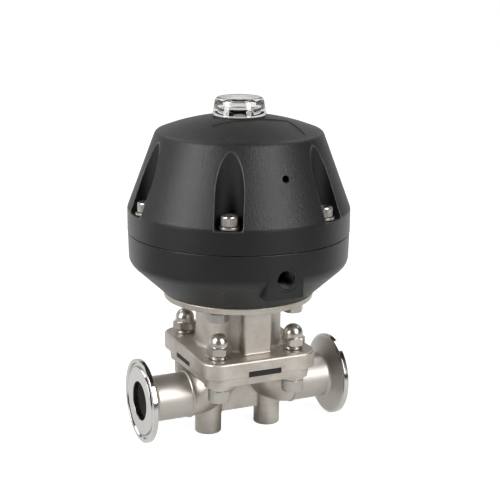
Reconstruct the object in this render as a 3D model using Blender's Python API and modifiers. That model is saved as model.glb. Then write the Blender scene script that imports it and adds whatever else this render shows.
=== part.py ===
"""Pneumatic sanitary diaphragm valve, closed, in metres with +Z up.

The pipe runs along X, the air port faces -Y, and the origin is on the spindle's axis, level with the ends
of the body's two legs. Every mating piece takes its size and place from the values below and a clearance.
"""

import math

import bmesh
import bpy
from mathutils import Matrix, Vector

# Clearances
RUNOUT = 0.004  # how far a cutter passes the wall that it opens
SEAT = 0.0003  # between two pieces that rest on each other
FIT = 0.0003  # radial, between a shank or rod and its hole
LIFT = 0.009  # travel of the spindle from closed to open
TRAVEL_ROOM = 0.001  # left over above a moving piece at full lift

BREAK = 0.0004  # rounding of a machined or moulded edge
ROOT = 0.001  # fillet in an inner corner

# Pipe ends
PIPE_HEIGHT = 0.0255
FACE_TO_FACE = 0.128
WELD_OFFSET = 0.034
TUBE_RADIUS = 0.0137
TUBE_WALL = 0.002
FERRULE_RADIUS = 0.02525
FERRULE_RIM = 0.00285
FERRULE_TAPER = math.radians(20)
FERRULE_ROOT_FILLET = 0.0015
GROOVE_RADIUS = 0.0216
GROOVE_WIDTH = 0.0028
GROOVE_DEPTH = 0.0016
GROOVE_SLOPE = 0.0006

# Valve body
JOINT_RISE = 0.0196  # joint plane above the pipe's axis
BODY_FLANGE_X = 0.066
BODY_FLANGE_Y = 0.073
BODY_FLANGE_THICK = 0.005
BODY_FLANGE_CORNER = 0.0093
LUG_RADIUS = 0.0088
LUG_DROP = 0.0013
BELLY_ROOM = 0.0005  # between a belly and the screws' washers
BELLY_WALL = 0.0027
BELLY_LENGTH = 0.030  # from the casting's end to where its underside meets the flange
BELLY_SWELL = 0.012  # length over which the round end widens to the full belly
WEIR_DEPTH = 0.0093  # from the joint plane down to the top of the weir
WEIR_WALL = 0.003
BOWL_RADIUS = 0.024
LEG_RADIUS = 0.0075
LEG_OFFSET = 0.0182
LEG_EDGE = 0.0006
RIB_THICK = 0.005

# Bolting of body and bonnet
BOLT_SPACING_X = 0.048
BOLT_SPACING_Y = 0.054
BOLT_RADIUS = 0.004
BOLT_HEAD_RADIUS = 0.0065
BOLT_HEAD_HEIGHT = 0.0074
BOLT_SOCKET = 0.006
BOLT_WASHER_RADIUS = 0.0068
BOLT_WASHER_THICK = 0.0014
NUT_FLATS = 0.013
NUT_HEX_HEIGHT = 0.005
NUT_DOME_RADIUS = 0.0054
NUT_DOME_ANGLES = (0, 25, 50, 75, 90)  # points of the dome's section, in degrees from the top
NUT_HEIGHT = 0.0127
NUT_ROOF = 0.0035  # metal above the end of its hole
NUT_ROOM = 0.001  # between the screw's end and the end of the hole
SPRING_WASHER_RADIUS = 0.0061
SPRING_WASHER_THICK = 0.0019
SPRING_WASHER_SPLIT = 0.0011
SPRING_WASHER_SLANT = math.radians(25)

HEX_CHAMFER = 0.0007  # height of the cone turned on a hexagon's corners

# Bonnet
BONNET_FLANGE_X = 0.072
BONNET_FLANGE_Y = 0.079
BONNET_FLANGE_THICK = 0.0104
BONNET_FLANGE_CORNER = 0.0105
BONNET_EDGE = 0.0013
SLOT_WIDTH = 0.021
SLOT_HEIGHT = 0.0039
COLUMN_RADIUS = 0.0258
COLUMN_HEIGHT = 0.0291
COLUMN_FOOT = 0.002
COLUMN_WALL = 0.0032
BLOCK_WIDTH = 0.0180
BLOCK_FACE = 0.0293
BLOCK_EDGE = 0.001
TOP_FLANGE_RADIUS = 0.0454
TOP_FLANGE_THICK = 0.00385
TOP_FLANGE_DRAFT = 0.0007
GUIDE_RADIUS = 0.009
GUIDE_LIP = 0.002
BONNET_SEAL_HEIGHT = 0.005

# Valve diaphragm and what moves it
DIAPHRAGM_THICK = 0.0033
DIAPHRAGM_RADIUS = 0.030
DIAPHRAGM_SHY = 0.0009  # how far its edge stays behind the flange's side
STUD_RADIUS = 0.003
STUD_HEAD_RADIUS = 0.005
STUD_HEAD_HEIGHT = 0.001
STUD_COVER = 0.0009  # rubber under the stud's head
STUD_LENGTH = 0.013
COMPRESSOR_RADIUS = 0.0200
COMPRESSOR_RIM = 0.004
COMPRESSOR_HUB_RADIUS = 0.0100
COMPRESSOR_HEIGHT = 0.022
COMPRESSOR_SOCKET = 0.0075
COMPRESSOR_EDGE = 0.001
PIN_RADIUS = 0.0015
PIN_SHY = 0.0005  # how far the pin's ends stay inside the hub
SPINDLE_RADIUS = 0.006
SPINDLE_NECK = 0.005  # radius above the shoulder that carries the support disc

# Actuator
ACTUATOR_RADIUS = 0.06598
SEAM_STEP = 0.00009  # the cover's lip inside its band, and the base's lip inside the cover's
SCREW_INSET = 0.00738  # from the actuator's side in to its ring of screws
CLAMP_INSET = 0.0103  # from the ring of screws in to the ring that clamps the control diaphragm

# Actuator base
BASE_HEIGHT = 0.03605
BASE_DRAFT = 0.0004  # how much narrower the base gets from its seam down to its shoulder
BASE_SHOULDER_HEIGHT = 0.01845
BASE_SHOULDER_FILLET = 0.008
BASE_WALL = 0.0045
BASE_FLOOR = 0.005
BASE_BOSS_RADIUS = 0.0135
BASE_BOSS_HEIGHT = 0.0030
ROD_SEAL_RADIUS = 0.009
ROD_SEAL_HEIGHT = 0.003
RETAINER_HEIGHT = 0.0021
CLAMP_RING_DEPTH = 0.016
PORT_HEIGHT = 0.02115  # port's axis above the base's underside
PORT_RADIUS = 0.0053
PORT_RING_RADIUS = 0.0072
PORT_RING_DEPTH = 0.0008  # from the actuator's side in to the flat round the port
PORT_BLOCK_WIDTH = 0.0228
PORT_BLOCK_BELOW = 0.0114
PORT_BLOCK_ABOVE = 0.0144
PORT_BLOCK_DEPTH = 0.0150
PORT_BLOCK_EDGE = 0.0006
PORT_BLOCK_INSET = 0.0001  # its rounded face inside the base's widest radius
FLANGE_BOLT_CIRCLE = 0.0345
FLANGE_BOLT_START = math.radians(-134)
FLANGE_BOLT_RADIUS = 0.003
FLANGE_BOLT_FLATS = 0.0105
FLANGE_BOLT_HEAD = 0.0053
FLANGE_BOLT_WASHER_RADIUS = 0.006
FLANGE_BOLT_WASHER_THICK = 0.0012
FLANGE_BOLT_BOSS_RADIUS = 0.0065
FLANGE_BOLT_ENGAGEMENT = 0.0082
BOSS_ROOF = 0.0013  # above the end of a bolt's hole

# Control diaphragm and its plates
RIM_ROOM = 0.0008  # between the control diaphragm's rim and the screws
RIM_THICK = 0.003
MEMBRANE_THICK = 0.0024
MEMBRANE_GAP = 0.0008  # between the membrane's wall and the clamp ring
SUPPORT_REST = 0.00725  # support disc above the top of the rod seal's boss
SUPPORT_THICK = 0.004
DISC_EDGE = 0.0008
SUPPORT_ROOM = 0.0085  # between the support disc and the clamp ring
PLATE_THICK = 0.003
PLATE_RIM_HEIGHT = 0.008
PLATE_RIM_THICK = 0.0023
SPINDLE_NUT_FLATS = 0.017
SPINDLE_NUT_HEIGHT = 0.006
THREAD_SHOW = 0.001  # spindle end above its nut

# Actuator cover
COVER_BAND_HEIGHT = 0.01393
COVER_CREASE_FILLET = 0.0055
COVER_TAPER = 0.0169  # how much narrower the shoulder is than the band
COVER_SHOULDER_FILLET = 0.0042
COVER_APEX_HEIGHT = 0.06826
COVER_DOME_RISE = 0.00946
COVER_WALL = 0.004
COVER_RING_HEIGHT = 0.0095
COVER_CEILING_DROP = 0.00204  # inner ceiling below the shoulder
SCREW_COUNT = 6
SCREW_START = math.radians(-119)
SCREW_RADIUS = 0.003
SCREW_HEAD_RADIUS = 0.005
SCREW_HEAD_HEIGHT = 0.0056
SCREW_SOCKET = 0.005
SCREW_WASHER_RADIUS = 0.0061
SCREW_WASHER_THICK = 0.0015
SCREW_LENGTH = 0.030
POCKET_RADIUS = 0.0080
POCKET_FLOOR = 0.0134
POCKET_WALL = 0.0022
POCKET_RUNOUT = 0.0015  # how far a pocket's cutter passes the actuator's side
VENT_RADIUS = 0.0019
VENT_HEIGHT = 0.0396
VENT_ANGLE = math.radians(3.4)

# Springs and indicator
SPRING_DEAD_TURNS = 0.75  # flat turns at each end
SPRING_OUTER_RADIUS = 0.033
SPRING_OUTER_WIRE = 0.0025
SPRING_OUTER_TURNS = 4.5
SPRING_INNER_RADIUS = 0.020
SPRING_INNER_WIRE = 0.0019
SPRING_INNER_TURNS = 5.5
ROD_RADIUS = 0.004
ROD_THREAD_RADIUS = 0.0025
ROD_THREAD_LENGTH = 0.006
ROD_TIP_DEPTH = 0.0012  # tip below the cap's seat when closed
CAP_SEAT_DEPTH = 0.0005  # seat below the cover's apex
CAP_SEAT_RADIUS = 0.0163
CAP_BASE_RADIUS = 0.0158
CAP_TOP_RADIUS = 0.0140
CAP_HEIGHT = 0.0104
CAP_EDGE = 0.0024
CAP_BORE = 0.0078
CAP_DRAFT = 0.0003
CAP_TOP_WALL = 0.0019
CAP_SPIGOT_RADIUS = 0.0099
CAP_SPIGOT_LENGTH = 0.006
CAP_SEAL_WIRE = 0.0008

# Fineness of turned shapes
FINE = 40
MEDIUM = 24
SMALL = 16
COARSE = 12
POCKET_STEPS = 10
FERRULE_STEPS = 40
SEAL_SIDES = 6
BELLY_POINTS = 20
PASSAGE_POINTS = 16
BELLY_SHARES = (0, 0.12, 0.24, 0.38, 0.52, 0.66, 0.8, 0.9, 1)  # sections along half of the body
PASSAGE_SHARES = (0.01, 0.1, 0.25, 0.45, 0.65, 0.85, 1)  # sections along one bore
OUTER_SPRING_STEPS = 10
INNER_SPRING_STEPS = 8
SMALL_FILLET = 0.0011  # a smaller fillet is one flat
MERGE = 0.000001  # points nearer than this on the axis become one
FILLET_STEP = math.radians(32)

# Radii worked out from the sizes above
SCREW_CIRCLE = ACTUATOR_RADIUS - SCREW_INSET
CLAMP_RADIUS = SCREW_CIRCLE - CLAMP_INSET
RIM_RADIUS = SCREW_CIRCLE - SCREW_RADIUS - RIM_ROOM
SUPPORT_RADIUS = CLAMP_RADIUS - SUPPORT_ROOM
COVER_SEAM_RADIUS = ACTUATOR_RADIUS - SEAM_STEP
COVER_SHOULDER_RADIUS = ACTUATOR_RADIUS - COVER_TAPER
BASE_SEAM_RADIUS = COVER_SEAM_RADIUS - SEAM_STEP
BASE_SHOULDER_RADIUS = BASE_SEAM_RADIUS - BASE_DRAFT
PORT_BLOCK_RADIUS = BASE_SEAM_RADIUS - PORT_BLOCK_INSET

# Heights worked out from the sizes above
JOINT_PLANE = PIPE_HEIGHT + JOINT_RISE
BODY_FLANGE_UNDER = JOINT_PLANE - BODY_FLANGE_THICK
LUG_UNDER = BODY_FLANGE_UNDER - LUG_DROP
WEIR_TOP = JOINT_PLANE - WEIR_DEPTH
BONNET_UNDER = JOINT_PLANE + SEAT
BONNET_FLANGE_TOP = BONNET_UNDER + BONNET_FLANGE_THICK
SLOT_TOP = BONNET_UNDER + SLOT_HEIGHT
TOP_FLANGE_UNDER = BONNET_FLANGE_TOP + COLUMN_HEIGHT
TOP_FLANGE_TOP = TOP_FLANGE_UNDER + TOP_FLANGE_THICK
DIAPHRAGM_UNDER = JOINT_PLANE + SEAT
DIAPHRAGM_TOP = DIAPHRAGM_UNDER + DIAPHRAGM_THICK
BELLY_HALF_WIDTH = BOLT_SPACING_Y / 2 - BOLT_WASHER_RADIUS - BELLY_ROOM
DISH_RADIUS = (BOWL_RADIUS**2 + WEIR_DEPTH**2) / (2 * WEIR_DEPTH)
DIAPHRAGM_DISH_BOTTOM = WEIR_TOP + SEAT
DIAPHRAGM_DISH_TOP = DIAPHRAGM_DISH_BOTTOM + DIAPHRAGM_THICK
COMPRESSOR_BOTTOM = DIAPHRAGM_DISH_TOP + SEAT
COMPRESSOR_TOP = COMPRESSOR_BOTTOM + COMPRESSOR_HEIGHT
SPINDLE_BOTTOM = COMPRESSOR_TOP - COMPRESSOR_SOCKET + SEAT
CHAMBER_TOP = COMPRESSOR_TOP + LIFT + TRAVEL_ROOM
CHAMBER_RADIUS = COLUMN_RADIUS - COLUMN_WALL
BUSH_BOTTOM = CHAMBER_TOP + GUIDE_LIP + SEAT
BONNET_SEAL_TOP = TOP_FLANGE_TOP - SEAT
BONNET_SEAL_BOTTOM = BONNET_SEAL_TOP - BONNET_SEAL_HEIGHT
BUSH_TOP = BONNET_SEAL_BOTTOM - SEAT
BASE_UNDER = TOP_FLANGE_TOP + SEAT
BASE_FLOOR_TOP = BASE_UNDER + BASE_FLOOR
BASE_BOSS_TOP = BASE_FLOOR_TOP + BASE_BOSS_HEIGHT
RETAINER_BOTTOM = BASE_BOSS_TOP - SEAT - RETAINER_HEIGHT
ROD_SEAL_BOTTOM = RETAINER_BOTTOM - SEAT - ROD_SEAL_HEIGHT
SEAM = BASE_UNDER + BASE_HEIGHT
COVER_UNDER = SEAM + SEAT
RIM_TOP = COVER_UNDER - SEAT
RIM_BOTTOM = RIM_TOP - RIM_THICK
RIM_LEDGE = RIM_BOTTOM - SEAT
SUPPORT_BOTTOM = BASE_BOSS_TOP + SUPPORT_REST - SUPPORT_THICK + TRAVEL_ROOM
SUPPORT_TOP = SUPPORT_BOTTOM + SUPPORT_THICK
MEMBRANE_BOTTOM = SUPPORT_TOP + SEAT
MEMBRANE_TOP = MEMBRANE_BOTTOM + MEMBRANE_THICK
MEMBRANE_OUTSIDE = CLAMP_RADIUS - MEMBRANE_GAP
PLATE_BOTTOM = MEMBRANE_TOP + SEAT
PLATE_TOP = PLATE_BOTTOM + PLATE_THICK
PLATE_RADIUS = MEMBRANE_OUTSIDE - MEMBRANE_THICK - SEAT
SPINDLE_NUT_BOTTOM = PLATE_TOP + SEAT
SPINDLE_TOP = SPINDLE_NUT_BOTTOM + SPINDLE_NUT_HEIGHT + THREAD_SHOW
APEX = COVER_UNDER + COVER_APEX_HEIGHT
SHOULDER = APEX - COVER_DOME_RISE
CREASE = COVER_UNDER + COVER_BAND_HEIGHT
COVER_CEILING = SHOULDER - COVER_CEILING_DROP
POCKET_BASE = COVER_UNDER + POCKET_FLOOR
CAP_SEAT = APEX - CAP_SEAT_DEPTH
CAP_BOTTOM = CAP_SEAT + SEAT
CAP_TOP = CAP_BOTTOM + CAP_HEIGHT
ROD_TIP = CAP_SEAT - ROD_TIP_DEPTH

parts = bpy.data.collections.new("diaphragm_valve")
tools = bpy.data.collections.new("cutters")


def clear_scene():
    for obj in list(bpy.data.objects):
        bpy.data.objects.remove(obj, do_unlink=True)
    bpy.context.scene.collection.children.link(parts)
    bpy.context.scene.collection.children.link(tools)


def finish(name, colour, roughness, metallic, alpha=1.0):
    """A Principled material for one sub-part."""
    material = bpy.data.materials.new(name)
    material.use_nodes = True
    shader = material.node_tree.nodes["Principled BSDF"]
    shader.inputs["Base Color"].default_value = (*colour, 1.0)
    shader.inputs["Roughness"].default_value = roughness
    shader.inputs["Metallic"].default_value = metallic
    shader.inputs["Alpha"].default_value = alpha
    material.diffuse_color = (*colour, alpha)
    return material


def cast_steel(name):
    return finish(name, (0.40, 0.37, 0.33), 0.45, 1.0)


def turned_steel(name):
    return finish(name, (0.55, 0.53, 0.50), 0.28, 1.0)


def bright_steel(name):
    return finish(name, (0.66, 0.65, 0.63), 0.15, 1.0)


def black_plastic(name):
    return finish(name, (0.025, 0.025, 0.024), 0.55, 0.0)


def black_rubber(name):
    return finish(name, (0.015, 0.015, 0.015), 0.75, 0.0)


def place(name, mesh, material=None):
    """An object in the parts collection, or a cutter where it has no material."""
    obj = bpy.data.objects.new(name, mesh)
    if material is None:
        tools.objects.link(obj)
        obj.hide_render = True
        obj.display_type = "WIRE"
        return obj
    parts.objects.link(obj)
    if not mesh.materials:
        mesh.materials.append(material)
    return obj


def shade(mesh):
    mesh.shade_smooth()
    mesh.set_sharp_from_angle(angle=math.radians(35))


def change(obj, tool, operation):
    modifier = obj.modifiers.new(f"{operation.title()} {tool.name}", "BOOLEAN")
    modifier.operation = operation
    modifier.solver = "EXACT"
    modifier.object = tool


def cut(obj, *cutters):
    for cutter in cutters:
        change(obj, cutter, "DIFFERENCE")


def join(obj, *others):
    for other in others:
        change(obj, other, "UNION")


def rounded(*corners):
    """Profile points of a broken line, each corner being (radius from the axis, height, fillet)."""
    points = []
    for index, (x, z, fillet) in enumerate(corners):
        here = Vector((x, z))
        if not fillet:
            points.append(here)
            continue
        to_last = (Vector(corners[index - 1][:2]) - here).normalized()
        to_next = (Vector(corners[(index + 1) % len(corners)][:2]) - here).normalized()
        half = to_last.angle(to_next) / 2
        reach = fillet / math.tan(half)
        centre = here + (to_last + to_next).normalized() * fillet / math.sin(half)
        start = here + to_last * reach - centre
        turn = start.angle_signed(here + to_next * reach - centre)
        steps = 1 if fillet < SMALL_FILLET else max(2, round(abs(turn) / FILLET_STEP))
        for step in range(steps + 1):
            angle = -turn * step / steps
            points.append(centre + Matrix.Rotation(angle, 2) @ start)
    return [(point.x, point.y) for point in points]


def dish(radius, reach, bottom, steps, inward=True):
    """Points along a dish's section, between its lowest point on the axis and the given reach."""
    angles = [math.asin(reach / radius) * step / steps for step in range(steps + 1)]
    points = [(radius * math.sin(a), bottom + radius * (1 - math.cos(a))) for a in angles]
    return points[::-1] if inward else points


def turned(name, profile, material=None, steps=MEDIUM, closed=True):
    """A shape turned about Z, from a profile that runs down its outer side."""
    last = len(profile) - 1
    edges = [(i, i + 1) for i in range(last)]
    if closed:
        edges.append((last, 0))
    mesh = bpy.data.meshes.new(name)
    mesh.from_pydata([(r, 0, z) for r, z in profile], edges, [])
    obj = place(name, mesh, material)
    screw = obj.modifiers.new("Turn", "SCREW")
    screw.steps = steps
    screw.render_steps = steps
    screw.use_merge_vertices = True
    screw.merge_threshold = MERGE
    screw.use_smooth_shade = False
    return obj


def drum(name, radius, low, high, material=None, steps=SMALL, at=(0, 0)):
    """A plain cylinder that stands on its centre line."""
    obj = turned(name, [(0, high), (radius, high), (radius, low), (0, low)], material, steps, closed=False)
    obj.location = (at[0], at[1], 0)
    return obj


def holes(name, radius, low, high, places):
    """Round cutters at several places."""
    return [drum(f"{name}_{i}", radius, low, high, steps=COARSE, at=at) for i, at in enumerate(places)]


def upright(edge):
    one, two = (vert.co for vert in edge.verts)
    return abs(one.z - two.z) > (one - two).length / 2


def block(name, low, high, material=None, edge=0.0, segments=2, upright_only=False):
    """A box between two corners, with its edges rounded."""
    low, high = Vector(low), Vector(high)
    bm = bmesh.new()
    bmesh.ops.create_cube(bm, size=1)
    bmesh.ops.scale(bm, vec=high - low, verts=bm.verts)
    bmesh.ops.translate(bm, vec=(low + high) / 2, verts=bm.verts)
    if edge:
        chosen = [e for e in bm.edges if not upright_only or upright(e)]
        bmesh.ops.bevel(bm, geom=chosen, offset=edge, segments=segments, affect="EDGES", profile=0.5)
    mesh = bpy.data.meshes.new(name)
    bm.to_mesh(mesh)
    bm.free()
    return place(name, mesh, material)


def flange_plate(name, size_x, size_y, low, high, corner, material=None, edge=0.0):
    """A plate with rounded corners and, on its top, a rounded edge."""
    half = (size_x / 2, size_y / 2)
    obj = block(name, (-half[0], -half[1], low), (half[0], half[1], high), material, corner, 5, True)
    if edge:
        bm = bmesh.new()
        bm.from_mesh(obj.data)
        rim = [e for e in bm.edges if min(v.co.z for v in e.verts) > high - edge]
        bmesh.ops.bevel(bm, geom=rim, offset=edge, segments=2, affect="EDGES", profile=0.5)
        bm.to_mesh(obj.data)
        bm.free()
    return obj


def hexagon(name, flats, low, high, material=None):
    bm = bmesh.new()
    radius = flats / 2 / math.cos(math.radians(30))
    bmesh.ops.create_cone(bm, cap_ends=True, segments=6, radius1=radius, radius2=radius, depth=high - low)
    bmesh.ops.translate(bm, vec=(0, 0, (low + high) / 2), verts=bm.verts)
    mesh = bpy.data.meshes.new(name)
    bm.to_mesh(mesh)
    bm.free()
    return place(name, mesh, material)


def loft(name, sections, material=None):
    """A closed skin through sections of equally many points, each section one ring."""
    bm = bmesh.new()
    rings = [[bm.verts.new(point) for point in section] for section in sections]
    count = len(rings[0])
    for one, two in zip(rings, rings[1:]):
        for i in range(count):
            j = (i + 1) % count
            bm.faces.new((one[i], one[j], two[j], two[i]))
    bm.faces.new(rings[0][::-1])
    bm.faces.new(rings[-1])
    bmesh.ops.recalc_face_normals(bm, faces=bm.faces)
    mesh = bpy.data.meshes.new(name)
    bm.to_mesh(mesh)
    bm.free()
    return place(name, mesh, material)


def around(count, radius, start):
    """Places spread evenly on a circle."""
    angles = [start + math.tau * i / count for i in range(count)]
    return [(radius * math.cos(a), radius * math.sin(a)) for a in angles]


def corners(spacing_x, spacing_y):
    return [(x * spacing_x / 2, y * spacing_y / 2) for x, y in ((-1, -1), (1, -1), (1, 1), (-1, 1))]


def copies(name, made, places, height=0.0):
    """The finished piece at the first place, and objects that share its mesh at the others."""
    for index, (x, y) in enumerate(places):
        obj = made
        if index:
            obj = bpy.data.objects.new(f"{name}_{index + 1}", made.data)
            parts.objects.link(obj)
        obj.name = f"{name}_{index + 1}"
        obj.location = (x, y, height)


def bake(obj):
    """Turns an object's live modifiers into its own mesh, so that copies can share it."""
    bpy.context.view_layer.update()
    graph = bpy.context.evaluated_depsgraph_get()
    mesh = bpy.data.meshes.new_from_object(obj.evaluated_get(graph))
    obj.modifiers.clear()
    obj.data = mesh
    shade(mesh)
    return obj


BOLT_PLACES = corners(BOLT_SPACING_X, BOLT_SPACING_Y)
FLANGE_BOLT_PLACES = around(4, FLANGE_BOLT_CIRCLE, FLANGE_BOLT_START)
SCREW_PLACES = around(SCREW_COUNT, SCREW_CIRCLE, SCREW_START)


def ferrule_profile():
    length = FACE_TO_FACE / 2 - WELD_OFFSET - SEAT
    bore = TUBE_RADIUS - TUBE_WALL
    inner = GROOVE_RADIUS - GROOVE_WIDTH / 2
    outer = GROOVE_RADIUS + GROOVE_WIDTH / 2
    cone = (FERRULE_RADIUS - TUBE_RADIUS) * math.tan(FERRULE_TAPER)
    return rounded(
        (bore, length, 0),
        (inner, length, 0),
        (inner + GROOVE_SLOPE, length - GROOVE_DEPTH, 0),
        (outer - GROOVE_SLOPE, length - GROOVE_DEPTH, 0),
        (outer, length, 0),
        (FERRULE_RADIUS, length, BREAK),
        (FERRULE_RADIUS, length - FERRULE_RIM, BREAK),
        (TUBE_RADIUS, length - FERRULE_RIM - cone, FERRULE_ROOT_FILLET),
        (TUBE_RADIUS, 0, 0),
        (bore, 0, 0),
    )


def make_ferrule(name, side):
    """Tube stub and clamp ferrule, from the weld to the face; side is -1 or 1 along X."""
    obj = turned(name, ferrule_profile(), turned_steel(name), FERRULE_STEPS)
    obj.rotation_euler = (0, side * math.pi / 2, 0)
    obj.location = (side * (WELD_OFFSET + SEAT), 0, PIPE_HEIGHT)


def swell(x):
    """0 at the casting's round end and 1 where the belly has its full width."""
    part = min(1, max(0, (WELD_OFFSET - abs(x)) / BELLY_SWELL))
    return part * part * (3 - 2 * part)


def underside(x, end_radius, length, ceiling):
    """Height of a belly's lowest line: an elliptic arc from the pipe's underside up to the valley."""
    reach = min(1, max(0, (WELD_OFFSET - abs(x)) / length))
    low = PIPE_HEIGHT - end_radius
    top = BODY_FLANGE_UNDER
    return min(ceiling, top - (top - low) * math.sqrt(1 - reach * reach))


def belly_section(x, end_radius, half_width, roof, length, ceiling, points=BELLY_POINTS):
    """An oval section whose lower half is deeper than its upper half."""
    grown = swell(x)
    width = end_radius + (half_width - end_radius) * grown
    waist = PIPE_HEIGHT + (BODY_FLANGE_UNDER - PIPE_HEIGHT) * grown
    low = underside(x, end_radius, length, ceiling)
    high = PIPE_HEIGHT + end_radius + (roof - PIPE_HEIGHT - end_radius) * grown
    section = []
    for step in range(points):
        angle = math.tau * step / points
        rise = math.sin(angle)
        z = waist + rise * (high - waist if rise > 0 else waist - low)
        section.append((x, width * math.cos(angle), z))
    return section


def make_body():
    """Cast body: two bellies and a weir between them, flange, legs and rib, with the passage cut through."""
    body = flange_plate(
        "valve_body",
        BODY_FLANGE_X,
        BODY_FLANGE_Y,
        BODY_FLANGE_UNDER,
        JOINT_PLANE,
        BODY_FLANGE_CORNER,
        cast_steel("valve_body"),
    )
    half = [WELD_OFFSET * share for share in BELLY_SHARES]
    stations = [-x for x in half[:0:-1]] + half
    arch = WEIR_TOP - WEIR_WALL
    roof = JOINT_PLANE - BODY_FLANGE_THICK / 2
    shell = [belly_section(x, TUBE_RADIUS, BELLY_HALF_WIDTH, roof, BELLY_LENGTH, arch) for x in stations]
    join(body, loft("belly_shell", shell))
    join(body, *[drum(f"lug_{i}", LUG_RADIUS, LUG_UNDER, roof, at=at) for i, at in enumerate(BOLT_PLACES)])
    leg_top = PIPE_HEIGHT - TUBE_RADIUS / 4
    for side in (-1, 1):
        profile = rounded((0, leg_top, 0), (LEG_RADIUS, leg_top, 0), (LEG_RADIUS, 0, LEG_EDGE), (0, 0, 0))
        leg = turned(f"leg_{side}", profile, None, SMALL, closed=False)
        leg.location.x = side * LEG_OFFSET
        join(body, leg)
    rib_low = PIPE_HEIGHT - TUBE_RADIUS
    rib_high = arch + WEIR_WALL / 2
    join(body, block("rib", (-LEG_OFFSET, -RIB_THICK / 2, rib_low), (LEG_OFFSET, RIB_THICK / 2, rib_high)))
    cut(body, *passage_cutters())
    cut(body, *holes("body_hole", BOLT_RADIUS + FIT, 0, BONNET_FLANGE_TOP, BOLT_PLACES))
    bake(body)


def passage_cutters():
    """The bore of each side, rising to the weir, and the dish that the diaphragm closes on."""
    bore = TUBE_RADIUS - TUBE_WALL
    length = BELLY_LENGTH - BELLY_WALL
    roof = JOINT_PLANE - BODY_FLANGE_THICK / 2
    weir_edge = WELD_OFFSET - length
    ceiling = roof - SEAT
    cutters = []
    for side in (-1, 1):
        stations = [side * (weir_edge + length * share) for share in PASSAGE_SHARES]
        stations.append(side * (WELD_OFFSET + RUNOUT))
        width = BELLY_HALF_WIDTH - BELLY_WALL
        rings = [belly_section(x, bore, width, roof, length, ceiling, PASSAGE_POINTS) for x in stations]
        cutters.append(loft(f"passage_{side}", rings))
    arc = dish(DISH_RADIUS, BOWL_RADIUS, WEIR_TOP, 5)
    above = JOINT_PLANE + SEAT
    profile = [(0, above), (BOWL_RADIUS, above)] + arc
    cutters.append(turned("weir_dish", profile, None, MEDIUM, closed=False))
    return cutters


def make_bonnet():
    """Bonnet casting: slotted flange, round column with a flat block on each side, round top flange."""
    bonnet = flange_plate(
        "bonnet",
        BONNET_FLANGE_X,
        BONNET_FLANGE_Y,
        BONNET_UNDER,
        BONNET_FLANGE_TOP,
        BONNET_FLANGE_CORNER,
        cast_steel("bonnet"),
        BONNET_EDGE,
    )
    middle = BONNET_FLANGE_TOP - BONNET_FLANGE_THICK / 3
    column = rounded(
        (0, TOP_FLANGE_TOP, 0),
        (TOP_FLANGE_RADIUS, TOP_FLANGE_TOP, BREAK),
        (TOP_FLANGE_RADIUS - TOP_FLANGE_DRAFT, TOP_FLANGE_UNDER, BREAK),
        (COLUMN_RADIUS, TOP_FLANGE_UNDER, ROOT),
        (COLUMN_RADIUS, BONNET_FLANGE_TOP + COLUMN_FOOT / 2, COLUMN_FOOT / 2),
        (COLUMN_RADIUS + COLUMN_FOOT, BONNET_FLANGE_TOP - COLUMN_FOOT / 4, 0),
        (COLUMN_RADIUS + COLUMN_FOOT, middle, 0),
        (0, middle, 0),
    )
    join(bonnet, turned("column", column, None, FINE, closed=False))
    inside = COLUMN_RADIUS / 2
    lift = (TOP_FLANGE_UNDER + TOP_FLANGE_TOP) / 2
    for side in (-1, 1):
        ends = sorted((side * inside, side * BLOCK_FACE))
        low = (-BLOCK_WIDTH / 2, ends[0], middle)
        high = (BLOCK_WIDTH / 2, ends[1], lift)
        join(bonnet, block(f"bonnet_block_{side}", low, high, None, BLOCK_EDGE))
    chamber = [
        (0, TOP_FLANGE_TOP + SEAT),
        (GUIDE_RADIUS + FIT, TOP_FLANGE_TOP + SEAT),
        (GUIDE_RADIUS + FIT, BUSH_BOTTOM - SEAT),
        (SPINDLE_RADIUS + FIT, BUSH_BOTTOM - SEAT),
        (SPINDLE_RADIUS + FIT, CHAMBER_TOP),
        (CHAMBER_RADIUS, CHAMBER_TOP),
        (CHAMBER_RADIUS, SLOT_TOP),
        (DIAPHRAGM_RADIUS + SEAT, SLOT_TOP),
        (DIAPHRAGM_RADIUS + SEAT, BONNET_UNDER - SEAT),
        (0, BONNET_UNDER - SEAT),
    ]
    cut(bonnet, turned("bonnet_chamber", chamber, None, MEDIUM, closed=False))
    cut(bonnet, *slot_cutters())
    cut(bonnet, *holes("bonnet_hole", BOLT_RADIUS + FIT, 0, TOP_FLANGE_UNDER, BOLT_PLACES))
    above = BONNET_FLANGE_TOP + COLUMN_FOOT
    cut(bonnet, *holes("flange_hole", FLANGE_BOLT_RADIUS + FIT, above, SEAM, FLANGE_BOLT_PLACES))
    bake(bonnet)


def slot_cutters():
    """A window in the middle of each side of the bonnet's flange."""
    half = SLOT_WIDTH / 2
    low = BONNET_UNDER - SEAT
    along = block("slot_x", (-BONNET_FLANGE_X, -half, low), (BONNET_FLANGE_X, half, SLOT_TOP))
    across = block("slot_y", (-half, -BONNET_FLANGE_Y, low), (half, BONNET_FLANGE_Y, SLOT_TOP))
    return along, across


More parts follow.
